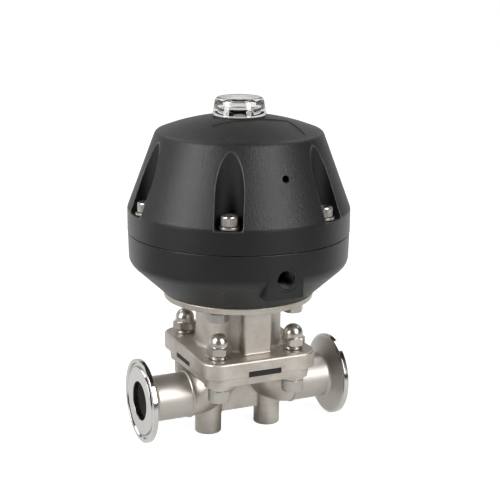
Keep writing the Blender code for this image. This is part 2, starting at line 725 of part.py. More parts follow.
def make_valve_diaphragm():
    """Moulded rubber disc, dished down on the weir, with a tab in each window of the bonnet."""
    rubber = black_rubber("valve_diaphragm")
    upper = DISH_RADIUS - DIAPHRAGM_THICK
    reach_under = BOWL_RADIUS - SEAT
    reach_over = math.sqrt(upper**2 - (upper - (DIAPHRAGM_TOP - DIAPHRAGM_DISH_TOP)) ** 2)
    over = dish(upper, reach_over, DIAPHRAGM_DISH_TOP, 4, inward=False)
    under = dish(DISH_RADIUS, reach_under, DIAPHRAGM_DISH_BOTTOM, 4)
    rim = [
        (DIAPHRAGM_RADIUS, DIAPHRAGM_TOP),
        (DIAPHRAGM_RADIUS, DIAPHRAGM_UNDER),
        (reach_under, DIAPHRAGM_UNDER),
    ]
    obj = turned("valve_diaphragm", over + rim + under[1:], rubber, MEDIUM, closed=False)
    half = SLOT_WIDTH / 2 - FIT
    for name, reach, turn in (("x", BONNET_FLANGE_X, 0), ("y", BONNET_FLANGE_Y, math.pi / 2)):
        for side in (-1, 1):
            ends = sorted((side * (BOWL_RADIUS + DIAPHRAGM_RADIUS) / 2, side * (reach / 2 - DIAPHRAGM_SHY)))
            low = (ends[0], -half, DIAPHRAGM_UNDER)
            high = (ends[1], half, DIAPHRAGM_TOP)
            tab = block(f"tab_{name}_{side}", low, high)
            tab.rotation_euler.z = turn
            join(obj, tab)
    head_low = DIAPHRAGM_DISH_BOTTOM + STUD_COVER
    head_high = head_low + STUD_HEAD_HEIGHT + 2 * SEAT
    pocket = [
        (0, DIAPHRAGM_TOP),
        (STUD_RADIUS + SEAT, DIAPHRAGM_TOP),
        (STUD_RADIUS + SEAT, head_high),
        (STUD_HEAD_RADIUS + SEAT, head_high),
        (STUD_HEAD_RADIUS + SEAT, head_low),
        (0, head_low),
    ]
    cut(obj, turned("stud_pocket", pocket, None, SMALL, closed=False))
    bake(obj)


def make_stud():
    low = DIAPHRAGM_DISH_BOTTOM + STUD_COVER + SEAT
    top = low + STUD_HEAD_HEIGHT
    high = low + STUD_LENGTH
    profile = rounded(
        (0, high, 0),
        (STUD_RADIUS, high, BREAK),
        (STUD_RADIUS, top, 0),
        (STUD_HEAD_RADIUS, top, 0),
        (STUD_HEAD_RADIUS, low, 0),
        (0, low, 0),
    )
    turned("diaphragm_stud", profile, turned_steel("diaphragm_stud"), SMALL, closed=False)


def make_compressor():
    """Dished pressure piece with a hub for the spindle, pinned across."""
    radius = DISH_RADIUS - DIAPHRAGM_THICK - SEAT
    under = dish(radius, COMPRESSOR_RADIUS, COMPRESSOR_BOTTOM, 3)
    rim_low = under[0][1]
    profile = rounded(
        (0, COMPRESSOR_TOP, 0),
        (COMPRESSOR_HUB_RADIUS, COMPRESSOR_TOP, COMPRESSOR_EDGE),
        (COMPRESSOR_HUB_RADIUS, rim_low + COMPRESSOR_RIM + COMPRESSOR_EDGE, 0),
        (COMPRESSOR_RADIUS, rim_low + COMPRESSOR_RIM, 0),
        (COMPRESSOR_RADIUS, rim_low, 0),
    )
    obj = turned("compressor", profile + under[1:], cast_steel("compressor"), MEDIUM, closed=False)
    socket_low = COMPRESSOR_TOP - COMPRESSOR_SOCKET
    cut(obj, drum("spindle_socket", SPINDLE_RADIUS + FIT, socket_low, COMPRESSOR_TOP + SEAT))
    stud_top = DIAPHRAGM_DISH_BOTTOM + STUD_COVER + SEAT + STUD_LENGTH
    cut(obj, drum("stud_socket", STUD_RADIUS + FIT, COMPRESSOR_BOTTOM - SEAT, stud_top + SEAT))
    cut(obj, cross_drum("compressor_pin_hole", PIN_RADIUS + FIT, 2 * COMPRESSOR_HUB_RADIUS + RUNOUT))
    bake(obj)


def cross_drum(name, radius, length, material=None):
    """A round pin or hole along Y, through hub and spindle."""
    half = length / 2
    profile = [(0, half), (radius, half), (radius, -half), (0, -half)]
    obj = turned(name, profile, material, COARSE, closed=False)
    obj.rotation_euler.x = math.pi / 2
    obj.location.z = COMPRESSOR_TOP - COMPRESSOR_SOCKET / 2
    return obj


def make_spindle():
    """Spindle from the compressor to the thrust plate, with a shoulder under the support disc."""
    shoulder = SUPPORT_BOTTOM - SEAT
    profile = rounded(
        (0, SPINDLE_TOP, 0),
        (SPINDLE_NECK, SPINDLE_TOP, BREAK),
        (SPINDLE_NECK, shoulder, 0),
        (SPINDLE_RADIUS, shoulder, BREAK),
        (SPINDLE_RADIUS, SPINDLE_BOTTOM, BREAK),
        (0, SPINDLE_BOTTOM, 0),
    )
    spindle = turned("spindle", profile, turned_steel("spindle"), SMALL, closed=False)
    cut(spindle, cross_drum("spindle_pin_hole", PIN_RADIUS + FIT, 4 * SPINDLE_RADIUS))
    bottom = SPINDLE_TOP - ROD_THREAD_LENGTH - SEAT
    cut(spindle, drum("rod_thread_hole", ROD_THREAD_RADIUS + FIT, bottom, SPINDLE_TOP + SEAT, steps=COARSE))
    bake(spindle)
    length = 2 * (COMPRESSOR_HUB_RADIUS - PIN_SHY)
    cross_drum("compressor_pin", PIN_RADIUS, length, turned_steel("compressor_pin"))


def ring(name, inner, outer, low, high, material, steps=SMALL, edge=0.0):
    profile = rounded((inner, high, edge), (outer, high, edge), (outer, low, edge), (inner, low, edge))
    return turned(name, profile, material, steps)


def make_guides():
    """Bush and seals that the spindle runs in."""
    bore = SPINDLE_RADIUS + FIT
    bronze = finish("spindle_bush", (0.42, 0.28, 0.12), 0.4, 1.0)
    ring("spindle_bush", bore, GUIDE_RADIUS, BUSH_BOTTOM, BUSH_TOP, bronze)
    seal = black_rubber("bonnet_seal")
    ring("bonnet_seal", bore, GUIDE_RADIUS, BONNET_SEAL_BOTTOM, BONNET_SEAL_TOP, seal, SMALL, DISC_EDGE)
    top = ROD_SEAL_BOTTOM + ROD_SEAL_HEIGHT
    rubber = black_rubber("base_seal")
    ring("base_seal", bore, ROD_SEAL_RADIUS, ROD_SEAL_BOTTOM, top, rubber, SMALL, DISC_EDGE)
    high = RETAINER_BOTTOM + RETAINER_HEIGHT
    steel = turned_steel("seal_retainer")
    ring("seal_retainer", bore, ROD_SEAL_RADIUS, RETAINER_BOTTOM, high, steel)


def base_profiles():
    """Outer and inner section of the actuator base, each as a solid of its own."""
    shoulder = BASE_UNDER + BASE_SHOULDER_HEIGHT
    outer = rounded(
        (0, SEAM, 0),
        (BASE_SEAM_RADIUS, SEAM, BREAK),
        (BASE_SHOULDER_RADIUS, shoulder, BASE_SHOULDER_FILLET),
        (TOP_FLANGE_RADIUS, BASE_UNDER, BREAK),
        (0, BASE_UNDER, 0),
    )
    slope = (BASE_SHOULDER_RADIUS - TOP_FLANGE_RADIUS) / BASE_SHOULDER_HEIGHT
    inset = BASE_WALL * math.sqrt(1 + slope * slope)
    floor_radius = TOP_FLANGE_RADIUS + slope * BASE_FLOOR - inset
    ring_under = SEAM - CLAMP_RING_DEPTH
    inner = rounded(
        (0, SEAM + SEAT, 0),
        (RIM_RADIUS + FIT, SEAM + SEAT, 0),
        (RIM_RADIUS + FIT, RIM_LEDGE, 0),
        (CLAMP_RADIUS, RIM_LEDGE, 0),
        (CLAMP_RADIUS, ring_under, 0),
        (floor_radius, BASE_FLOOR_TOP, ROOT),
        (0, BASE_FLOOR_TOP, 0),
    )
    return outer, inner


def make_base():
    """Lower housing: cone, clamp ring, air port block, bosses for the bolts and the seat of the rod seal."""
    outer, inner = base_profiles()
    base = turned("actuator_base", outer, black_plastic("actuator_base"), FINE, closed=False)
    port = BASE_UNDER + PORT_HEIGHT
    half = PORT_BLOCK_WIDTH / 2
    low = port - PORT_BLOCK_BELOW
    high = port + PORT_BLOCK_ABOVE
    back = PORT_BLOCK_DEPTH - ACTUATOR_RADIUS
    slab = block("port_block", (-half, -ACTUATOR_RADIUS, low), (half, back, high), None, PORT_BLOCK_EDGE, 1)
    reach = ACTUATOR_RADIUS + RUNOUT
    cut(slab, ring("port_round", PORT_BLOCK_RADIUS, reach, low - RUNOUT, high + RUNOUT, None, FINE))
    join(base, slab)
    hollow = turned("base_hollow", inner, None, MEDIUM, closed=False)
    boss_high = BASE_UNDER + FLANGE_BOLT_ENGAGEMENT + SEAT + BOSS_ROOF
    bosses = [
        drum(f"bolt_boss_{i}", FLANGE_BOLT_BOSS_RADIUS, BASE_UNDER, boss_high, at=at)
        for i, at in enumerate(FLANGE_BOLT_PLACES)
    ]
    bosses.append(drum("seal_boss", BASE_BOSS_RADIUS, BASE_UNDER, BASE_BOSS_TOP))
    cut(hollow, *bosses)
    cut(base, hollow)
    seat = [
        (0, BASE_BOSS_TOP + SEAT),
        (ROD_SEAL_RADIUS + FIT, BASE_BOSS_TOP + SEAT),
        (ROD_SEAL_RADIUS + FIT, ROD_SEAL_BOTTOM - SEAT),
        (SPINDLE_RADIUS + FIT, ROD_SEAL_BOTTOM - SEAT),
        (SPINDLE_RADIUS + FIT, BASE_UNDER - SEAT),
        (0, BASE_UNDER - SEAT),
    ]
    cut(base, turned("rod_seal_seat", seat, None, SMALL, closed=False))
    top = BASE_UNDER + FLANGE_BOLT_ENGAGEMENT + SEAT
    cut(base, *holes("base_thread", FLANGE_BOLT_RADIUS + FIT, BASE_UNDER - SEAT, top, FLANGE_BOLT_PLACES))
    bottom = POCKET_BASE + SEAT + SCREW_WASHER_THICK - SCREW_LENGTH
    cut(base, *holes("screw_thread", SCREW_RADIUS + FIT, bottom, COVER_UNDER, SCREW_PLACES))
    cut(base, port_drum("port_bore", PORT_RADIUS, ACTUATOR_RADIUS - CLAMP_RADIUS + RUNOUT))
    cut(base, port_drum("port_ring", PORT_RING_RADIUS, PORT_RING_DEPTH))
    bake(base)


def port_drum(name, radius, depth):
    """A round cutter that enters the port block from the actuator's side."""
    profile = [(0, RUNOUT), (radius, RUNOUT), (radius, -depth), (0, -depth)]
    obj = turned(name, profile, None, MEDIUM, closed=False)
    obj.rotation_euler.x = math.pi / 2
    obj.location = (0, -ACTUATOR_RADIUS, BASE_UNDER + PORT_HEIGHT)
    return obj


def cover_profiles():
    """Outer and inner section of the actuator cover, each as a solid of its own."""
    dome = (COVER_SHOULDER_RADIUS**2 + COVER_DOME_RISE**2) / (2 * COVER_DOME_RISE)
    reach = math.asin(COVER_SHOULDER_RADIUS / dome)
    crown = [
        (dome * math.sin(reach * share), APEX - dome * (1 - math.cos(reach * share)), 0)
        for share in (0, 0.25, 0.5, 0.75)
    ]
    outer = rounded(
        *crown,
        (COVER_SHOULDER_RADIUS, SHOULDER, COVER_SHOULDER_FILLET),
        (ACTUATOR_RADIUS, CREASE, COVER_CREASE_FILLET),
        (COVER_SEAM_RADIUS, COVER_UNDER, BREAK),
        (0, COVER_UNDER, 0),
    )
    slope = COVER_TAPER / (SHOULDER - CREASE)
    inset = COVER_WALL * math.sqrt(1 + slope * slope)
    ceiling_radius = COVER_SHOULDER_RADIUS + slope * COVER_CEILING_DROP - inset
    foot_radius = ACTUATOR_RADIUS - inset
    ring_top = COVER_UNDER + COVER_RING_HEIGHT
    inner = rounded(
        (0, COVER_CEILING, 0),
        (ceiling_radius, COVER_CEILING, ROOT),
        (foot_radius, CREASE, 0),
        (foot_radius, ring_top, 0),
        (CLAMP_RADIUS, ring_top, 0),
        (CLAMP_RADIUS, COVER_UNDER - SEAT, 0),
        (0, COVER_UNDER - SEAT, 0),
    )
    return outer, inner


def pocket(name, x, y, radius, low):
    """A U-shaped column round one screw, open outwards from the valve's axis."""
    reach = SCREW_INSET + POCKET_RUNOUT
    arc = [math.pi / 2 + math.pi * i / POCKET_STEPS for i in range(POCKET_STEPS + 1)]
    outline = [(radius * math.cos(a), radius * math.sin(a)) for a in arc]
    outline += [(reach, -radius), (reach, radius)]
    bm = bmesh.new()
    floor = bm.faces.new([bm.verts.new((px, py, low)) for px, py in outline])
    walls = bmesh.ops.extrude_face_region(bm, geom=[floor])
    raised = [v for v in walls["geom"] if isinstance(v, bmesh.types.BMVert)]
    bmesh.ops.translate(bm, vec=(0, 0, APEX - low), verts=raised)
    bmesh.ops.recalc_face_normals(bm, faces=bm.faces)
    mesh = bpy.data.meshes.new(name)
    bm.to_mesh(mesh)
    bm.free()
    column = place(name, mesh)
    column.location = (x, y, 0)
    column.rotation_euler.z = math.atan2(y, x)
    return column


def cap_bore_profile():
    """Seat of the clear cap, groove of its seal and the hole for its spigot and the indicator rod."""
    neck = CAP_SPIGOT_RADIUS + FIT
    groove = neck + 2 * CAP_SEAL_WIRE + SEAT
    groove_low = CAP_SEAT - 2 * CAP_SEAL_WIRE
    neck_low = CAP_BOTTOM - CAP_SPIGOT_LENGTH - SEAT
    above = APEX + SEAT
    below = COVER_CEILING - SEAT
    rod = ROD_RADIUS + FIT
    return [
        (0, above),
        (CAP_SEAT_RADIUS, above),
        (CAP_SEAT_RADIUS, CAP_SEAT),
        (groove, CAP_SEAT),
        (groove, groove_low),
        (neck, groove_low),
        (neck, neck_low),
        (rod, neck_low),
        (rod, below),
        (0, below),
    ]


def make_cover():
    """Upper housing: a moulded shell whose six screw pockets stand inside it as walled columns."""
    outer, inner = cover_profiles()
    cover = turned("actuator_cover", outer, black_plastic("actuator_cover"), FINE, closed=False)
    hollow = turned("cover_hollow", inner, None, MEDIUM, closed=False)
    for i, (x, y) in enumerate(SCREW_PLACES):
        column_low = COVER_UNDER + COVER_RING_HEIGHT / 2
        cut(hollow, pocket(f"pocket_column_{i}", x, y, POCKET_RADIUS + POCKET_WALL, column_low))
    cut(cover, hollow)
    for i, (x, y) in enumerate(SCREW_PLACES):
        cut(cover, pocket(f"screw_pocket_{i}", x, y, POCKET_RADIUS, POCKET_BASE))
    cut(cover, *holes("screw_hole", SCREW_RADIUS + FIT, SEAM - SEAT, APEX, SCREW_PLACES))
    cut(cover, turned("cap_bore", cap_bore_profile(), None, MEDIUM, closed=False))
    vent = drum("vent", VENT_RADIUS, 0, ACTUATOR_RADIUS, steps=COARSE)
    vent.rotation_euler = (math.pi / 2, 0, VENT_ANGLE)
    vent.location = (0, 0, COVER_UNDER + VENT_HEIGHT)
    cut(cover, vent)
    bake(cover)


def make_control_diaphragm():
    """Top-hat membrane, hanging from its clamped rim to the disc that the air lifts."""
    inside = MEMBRANE_OUTSIDE - MEMBRANE_THICK
    bore = SPINDLE_NECK + FIT
    profile = rounded(
        (bore, MEMBRANE_TOP, 0),
        (inside, MEMBRANE_TOP, 0),
        (inside, RIM_TOP, ROOT),
        (RIM_RADIUS, RIM_TOP, 0),
        (RIM_RADIUS, RIM_BOTTOM, 0),
        (MEMBRANE_OUTSIDE, RIM_BOTTOM, 0),
        (MEMBRANE_OUTSIDE, MEMBRANE_BOTTOM, ROOT),
        (bore, MEMBRANE_BOTTOM, 0),
    )
    turned("control_diaphragm", profile, black_rubber("control_diaphragm"), MEDIUM)


def make_plates():
    """Support disc below the membrane, thrust plate above it and the nut that clamps them."""
    bore = SPINDLE_NECK + FIT
    steel = turned_steel("support_disc")
    ring("support_disc", bore, SUPPORT_RADIUS, SUPPORT_BOTTOM, SUPPORT_TOP, steel, MEDIUM, DISC_EDGE)
    high = PLATE_BOTTOM + PLATE_RIM_HEIGHT
    profile = rounded(
        (bore, PLATE_TOP, 0),
        (PLATE_RADIUS - PLATE_RIM_THICK, PLATE_TOP, ROOT),
        (PLATE_RADIUS - PLATE_RIM_THICK, high, 0),
        (PLATE_RADIUS, high, 0),
        (PLATE_RADIUS, PLATE_BOTTOM, ROOT),
        (bore, PLATE_BOTTOM, 0),
    )
    turned("thrust_plate", profile, turned_steel("thrust_plate"), MEDIUM)
    nut_top = SPINDLE_NUT_BOTTOM + SPINDLE_NUT_HEIGHT
    steel = turned_steel("spindle_nut")
    nut = hexagon("spindle_nut", SPINDLE_NUT_FLATS, SPINDLE_NUT_BOTTOM, nut_top, steel)
    cut(nut, drum("spindle_nut_bore", SPINDLE_NECK + FIT, SPINDLE_NUT_BOTTOM - SEAT, SPINDLE_TOP + SEAT))
    bake(nut)


def make_spring(name, radius, wire, turns, steps):
    """A closing spring, its end turns flat on the plate and on the cover's ceiling."""
    low = PLATE_TOP + SEAT + wire
    high = COVER_CEILING - SEAT - wire
    total = turns + 2 * SPRING_DEAD_TURNS
    count = round(total * steps)
    curve = bpy.data.curves.new(name, "CURVE")
    curve.dimensions = "3D"
    curve.bevel_depth = wire
    curve.bevel_resolution = 1
    curve.use_fill_caps = True
    spline = curve.splines.new("POLY")
    spline.points.add(count)
    for i in range(count + 1):
        turn = total * i / count
        rise = min(1, max(0, (turn - SPRING_DEAD_TURNS) / turns))
        angle = math.tau * turn
        z = low + (high - low) * rise
        spline.points[i].co = (radius * math.cos(angle), radius * math.sin(angle), z, 1)
    curve.materials.append(turned_steel(name))
    obj = bpy.data.objects.new(name, curve)
    parts.objects.link(obj)


def make_springs():
    steps = OUTER_SPRING_STEPS
    make_spring("spring_outer", SPRING_OUTER_RADIUS, SPRING_OUTER_WIRE, SPRING_OUTER_TURNS, steps)
    steps = INNER_SPRING_STEPS
    make_spring("spring_inner", SPRING_INNER_RADIUS, SPRING_INNER_WIRE, SPRING_INNER_TURNS, steps)


def make_indicator():
    """Rod that rises with the spindle, and the clear cap that shows it."""
    steel = turned_steel("indicator_rod")
    shoulder = SPINDLE_TOP + SEAT
    profile = rounded(
        (0, ROD_TIP, 0),
        (ROD_RADIUS, ROD_TIP, BREAK),
        (ROD_RADIUS, shoulder, 0),
        (ROD_THREAD_RADIUS, shoulder, 0),
        (ROD_THREAD_RADIUS, SPINDLE_TOP - ROD_THREAD_LENGTH, 0),
        (0, SPINDLE_TOP - ROD_THREAD_LENGTH, 0),
    )
    turned("indicator_rod", profile, steel, SMALL, closed=False)
    clear = finish("indicator_cap", (0.85, 0.87, 0.88), 0.05, 0.0, 0.35)
    cap = rounded(
        (0, CAP_TOP, 0),
        (CAP_TOP_RADIUS, CAP_TOP, CAP_EDGE),
        (CAP_BASE_RADIUS, CAP_BOTTOM, BREAK),
        (CAP_SPIGOT_RADIUS, CAP_BOTTOM, 0),
        (CAP_SPIGOT_RADIUS, CAP_BOTTOM - CAP_SPIGOT_LENGTH, 0),
        (CAP_BORE, CAP_BOTTOM - CAP_SPIGOT_LENGTH, 0),
        (CAP_BORE - CAP_DRAFT, CAP_TOP - CAP_TOP_WALL, CAP_EDGE / 2),
        (0, CAP_TOP - CAP_TOP_WALL, 0),
    )
    turned("indicator_cap", cap, clear, MEDIUM, closed=False)
    centre = CAP_SPIGOT_RADIUS + FIT + CAP_SEAL_WIRE
    height = CAP_SEAT - CAP_SEAL_WIRE
    angles = [math.pi / 2 - math.tau * i / SEAL_SIDES for i in range(SEAL_SIDES)]
    section = [(centre + CAP_SEAL_WIRE * math.cos(a), height + CAP_SEAL_WIRE * math.sin(a)) for a in angles]
    turned("cap_seal", section, black_rubber("cap_seal"), SMALL)


def socket_screw(name, radius, head_radius, head_height, socket, length, material, up=True):
    """Socket-head screw with its head's seat at height 0, head above it if up, and below if not."""
    profile = rounded(
        (0, head_height, 0),
        (head_radius, head_height, BREAK),
        (head_radius, 0, 0),
        (radius, 0, 0),
        (radius, -length, 0),
        (0, -length, 0),
    )
    screw = turned(name, profile, material, COARSE, closed=False)
    cut(screw, hexagon(f"{name}_socket", socket, head_height / 2, head_height + SEAT))
    bake(screw)
    if not up:
        screw.data.transform(Matrix.Rotation(math.pi, 4, "X"))
    return screw


def hex_screw(name, radius, flats, head_height, length, material):
    """Hexagon-head screw pointing up, its head's seat at height 0."""
    head = hexagon(name, flats, -head_height, 0, material)
    chamfer = [
        (0, SEAT),
        (flats, SEAT),
        (flats / 2 / math.cos(math.radians(30)), HEX_CHAMFER - head_height),
        (flats / 2, -head_height),
        (0, -head_height),
    ]
    change(head, turned(f"{name}_chamfer", chamfer, None, SMALL, closed=False), "INTERSECT")
    join(head, drum(f"{name}_shank", radius, -head_height / 2, length, steps=COARSE))
    return bake(head)


def cap_nut(name):
    """Domed nut with its seat at height 0."""
    nut = hexagon(name, NUT_FLATS, 0, NUT_HEX_HEIGHT, bright_steel(name))
    corner = NUT_FLATS / 2 / math.cos(math.radians(30))
    crown = [
        (0, NUT_HEX_HEIGHT + SEAT),
        (NUT_FLATS / 2, NUT_HEX_HEIGHT + SEAT),
        (NUT_FLATS / 2, NUT_HEX_HEIGHT),
        (corner, NUT_HEX_HEIGHT - HEX_CHAMFER),
        (corner, HEX_CHAMFER),
        (NUT_FLATS / 2, 0),
        (0, 0),
    ]
    change(nut, turned(f"{name}_crown", crown, None, COARSE, closed=False), "INTERSECT")
    straight = NUT_HEIGHT - NUT_DOME_RADIUS
    angles = [math.radians(a) for a in NUT_DOME_ANGLES]
    arc = [(NUT_DOME_RADIUS * math.sin(a), straight + NUT_DOME_RADIUS * math.cos(a)) for a in angles]
    neck = [(NUT_DOME_RADIUS, NUT_HEX_HEIGHT / 2), (0, NUT_HEX_HEIGHT / 2)]
    join(nut, turned(f"{name}_dome", arc + neck, None, COARSE, closed=False))
    cut(nut, drum(f"{name}_bore", BOLT_RADIUS + FIT, -SEAT, NUT_HEIGHT - NUT_ROOF, steps=COARSE))
    return bake(nut)


def make_washers(name, bore, radius, thick, places, low):
    """Plain washers on screws of one radius, at one height."""
    washer = ring(name, bore + FIT, radius, 0, thick, bright_steel(name), COARSE)
    copies(name, bake(washer), places, low)


def make_body_fasteners():
    """Four screws from below through both flanges, into domed nuts on split washers."""
    washer_low = LUG_UNDER - SEAT - BOLT_WASHER_THICK
    seat = washer_low - SEAT
    radius = BOLT_WASHER_RADIUS
    thick = BOLT_WASHER_THICK
    make_washers("body_screw_washer", BOLT_RADIUS, radius, thick, BOLT_PLACES, washer_low)
    nut_seat = BONNET_FLANGE_TOP + 2 * SEAT + SPRING_WASHER_THICK
    length = nut_seat + NUT_HEIGHT - NUT_ROOF - NUT_ROOM - seat
    screw = socket_screw(
        "body_screw",
        BOLT_RADIUS,
        BOLT_HEAD_RADIUS,
        BOLT_HEAD_HEIGHT,
        BOLT_SOCKET,
        length,
        turned_steel("body_screw"),
        up=False,
    )
    copies("body_screw", screw, BOLT_PLACES, seat)
    steel = bright_steel("cap_nut_washer")
    thick = SPRING_WASHER_THICK
    split = ring("cap_nut_washer", BOLT_RADIUS + FIT, SPRING_WASHER_RADIUS, 0, thick, steel, COARSE)
    half = SPRING_WASHER_SPLIT / 2
    reach = 2 * SPRING_WASHER_RADIUS
    slit = block("washer_slit", (-half, -reach, -RUNOUT), (half, 0, RUNOUT))
    slit.rotation_euler.y = SPRING_WASHER_SLANT
    cut(split, slit)
    copies("cap_nut_washer", bake(split), BOLT_PLACES, BONNET_FLANGE_TOP + SEAT)
    copies("cap_nut", cap_nut("cap_nut"), BOLT_PLACES, nut_seat)


def make_flange_bolts():
    """Four hexagon screws that hold the actuator on the bonnet from below."""
    name = "flange_bolt_washer"
    radius = FLANGE_BOLT_WASHER_RADIUS
    thick = FLANGE_BOLT_WASHER_THICK
    make_washers(name, FLANGE_BOLT_RADIUS, radius, thick, FLANGE_BOLT_PLACES, TOP_FLANGE_UNDER - SEAT - thick)
    seat = TOP_FLANGE_UNDER - 2 * SEAT - thick
    length = BASE_UNDER + FLANGE_BOLT_ENGAGEMENT - seat
    steel = turned_steel("flange_bolt")
    bolt = hex_screw("flange_bolt", FLANGE_BOLT_RADIUS, FLANGE_BOLT_FLATS, FLANGE_BOLT_HEAD, length, steel)
    copies("flange_bolt", bolt, FLANGE_BOLT_PLACES, seat)


def make_cover_screws():
    """Socket-head screws in the cover's pockets, which clamp the membrane."""
    seat = POCKET_BASE + SEAT
    make_washers("cover_washer", SCREW_RADIUS, SCREW_WASHER_RADIUS, SCREW_WASHER_THICK, SCREW_PLACES, seat)
    screw = socket_screw(
        "cover_screw",
        SCREW_RADIUS,
        SCREW_HEAD_RADIUS,
        SCREW_HEAD_HEIGHT,
        SCREW_SOCKET,
        SCREW_LENGTH,
        turned_steel("cover_screw"),
    )
    copies("cover_screw", screw, SCREW_PLACES, seat + SCREW_WASHER_THICK + SEAT)


def make_valve():
    clear_scene()
    make_body()
    make_ferrule("inlet_ferrule", -1)
    make_ferrule("outlet_ferrule", 1)
    make_valve_diaphragm()
    make_stud()
    make_compressor()
    make_bonnet()
    make_spindle()
    make_guides()
    make_base()
    make_control_diaphragm()
    make_plates()
    make_springs()
    make_cover()
    make_indicator()
    make_body_fasteners()
    make_flange_bolts()
    make_cover_screws()


make_valve()
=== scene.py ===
# %% [markdown]
# # A diaphragm valve for clean pipes
# The valve stands on two short legs. A cast steel body carries a clamp ferrule on each side, a steel
# bonnet is bolted on it over a rubber diaphragm, and a round black actuator on top lifts that diaphragm
# with air. The engineering model already has every piece at its real size and place, so it is loaded
# first and kept as the frame. Each visible piece is then modelled again with finer curves and rounded
# edges, exactly where the frame has it. Working from the frame is safer than placing things by eye,
# because nothing can drift.

import math

import bmesh
import bpy
from mathutils import Matrix, Vector


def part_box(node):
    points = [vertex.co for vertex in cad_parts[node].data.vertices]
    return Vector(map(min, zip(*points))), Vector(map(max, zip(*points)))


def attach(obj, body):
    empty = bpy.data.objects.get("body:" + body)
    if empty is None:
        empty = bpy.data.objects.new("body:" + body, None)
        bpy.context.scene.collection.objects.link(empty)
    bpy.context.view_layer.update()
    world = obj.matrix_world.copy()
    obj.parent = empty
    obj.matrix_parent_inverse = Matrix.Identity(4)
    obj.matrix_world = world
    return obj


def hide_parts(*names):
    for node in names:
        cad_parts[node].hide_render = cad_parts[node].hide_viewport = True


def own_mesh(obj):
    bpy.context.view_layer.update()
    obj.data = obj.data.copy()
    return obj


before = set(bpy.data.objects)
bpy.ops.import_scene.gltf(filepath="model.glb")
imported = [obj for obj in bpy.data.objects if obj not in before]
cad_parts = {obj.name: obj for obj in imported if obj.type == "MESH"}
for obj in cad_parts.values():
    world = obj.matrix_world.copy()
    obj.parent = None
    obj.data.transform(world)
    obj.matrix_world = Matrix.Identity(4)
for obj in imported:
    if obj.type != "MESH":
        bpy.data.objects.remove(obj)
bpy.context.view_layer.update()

# %% [markdown]
# ## Tools for turned pieces
# Most pieces of a valve come off a lathe, so their shape is one line turned about an axis. Drawing every
# corner of that line by hand would hide the sizes, so a corner is given as radius, height and fillet, and
# a function puts the arc in. Spin then sweeps the line. A modifier could do it as well, but with an
# operator the mesh is final at once and can be cut further.

# %% Profile with filleted corners
ARC_STEP = math.radians(12)


def rounded(*corners):
    """Points of a broken line whose corners are (radius, height, fillet)."""
    points = []
    for index, (x, z, fillet) in enumerate(corners):
        here = Vector((x, z))
        if not fillet:
            points.append(here)
            continue
        to_last = (Vector(corners[index - 1][:2]) - here).normalized()
        to_next = (Vector(corners[(index + 1) % len(corners)][:2]) - here).normalized()
        half = to_last.angle(to_next) / 2
        centre = here + (to_last + to_next).normalized() * fillet / math.sin(half)
        start = here + to_last * fillet / math.tan(half) - centre
        turn = start.angle_signed(here + to_next * fillet / math.tan(half) - centre)
        steps = max(3, round(abs(turn) / ARC_STEP))
        for step in range(steps + 1):
            points.append(centre + Matrix.Rotation(-turn * step / steps, 2) @ start)
    return [(point.x, point.y) for point in points]


def arc(radius, middle, first, last, steps):
    """Points on a circle about (0, middle) in the profile's plane, by angle from straight up."""
    angles = [math.radians(first + (last - first) * step / steps) for step in range(steps + 1)]
    return [(radius * math.sin(a), middle + radius * math.cos(a)) for a in angles]


# %% Spin a profile
LARGE_TURN = 160
MIDDLE_TURN = 96
SMALL_TURN = 48
HOLE_TURN = 24
SAME_POINT = 0.000002


def spun(profile, steps=MIDDLE_TURN, closed=True):
    """A closed shell turned about Z; an open profile has to begin and end on the axis."""
    bm = bmesh.new()
    verts = [bm.verts.new((r, 0, z)) for r, z in profile]
    edges = [bm.edges.new(pair) for pair in zip(verts, verts[1:])]
    if closed:
        edges.append(bm.edges.new((verts[-1], verts[0])))
    bmesh.ops.spin(
        bm,
        geom=verts + edges,
        cent=(0, 0, 0),
        axis=(0, 0, 1),
        dvec=(0, 0, 0),
        angle=math.tau,
        steps=steps,
        use_merge=True,
        use_duplicate=False,
    )
    bmesh.ops.remove_doubles(bm, verts=bm.verts, dist=SAME_POINT)
    bmesh.ops.recalc_face_normals(bm, faces=bm.faces)
    return bm


def rod(radius, low, high, steps=SMALL_TURN):
    """A plain round bar about Z, mostly used as a cutter."""
    return spun([(0, high), (radius, high), (radius, low), (0, low)], steps, closed=False)


def swept(bm, section, angle, rise, steps):
    """Sweeps a section about Z while it climbs, and gives back its last copy."""
    made = bmesh.ops.spin(
        bm,
        geom=section,
        cent=(0, 0, 0),
        axis=(0, 0, 1),
        dvec=(0, 0, rise / steps),
        angle=angle,
        steps=steps,
        use_merge=False,
        use_duplicate=False,
    )
    return made["geom_last"]


# %% [markdown]
# ## Tools for cast and moulded pieces
# Boxes, tubes and holes are joined and cut with Booleans, as a designer would do in a CAD program. The
# exact solver leaves every crossing as a sharp edge, and no real casting has one, so the edges are
# rounded afterwards with a bevel. A voxel remesh would round everything in one go, but it also eats the
# flat faces.

# %% Combine two shells
def as_object(bm, name):
    mesh = bpy.data.meshes.new(name)
    bm.to_mesh(mesh)
    bm.free()
    obj = bpy.data.objects.new(name, mesh)
    bpy.context.scene.collection.objects.link(obj)
    return obj


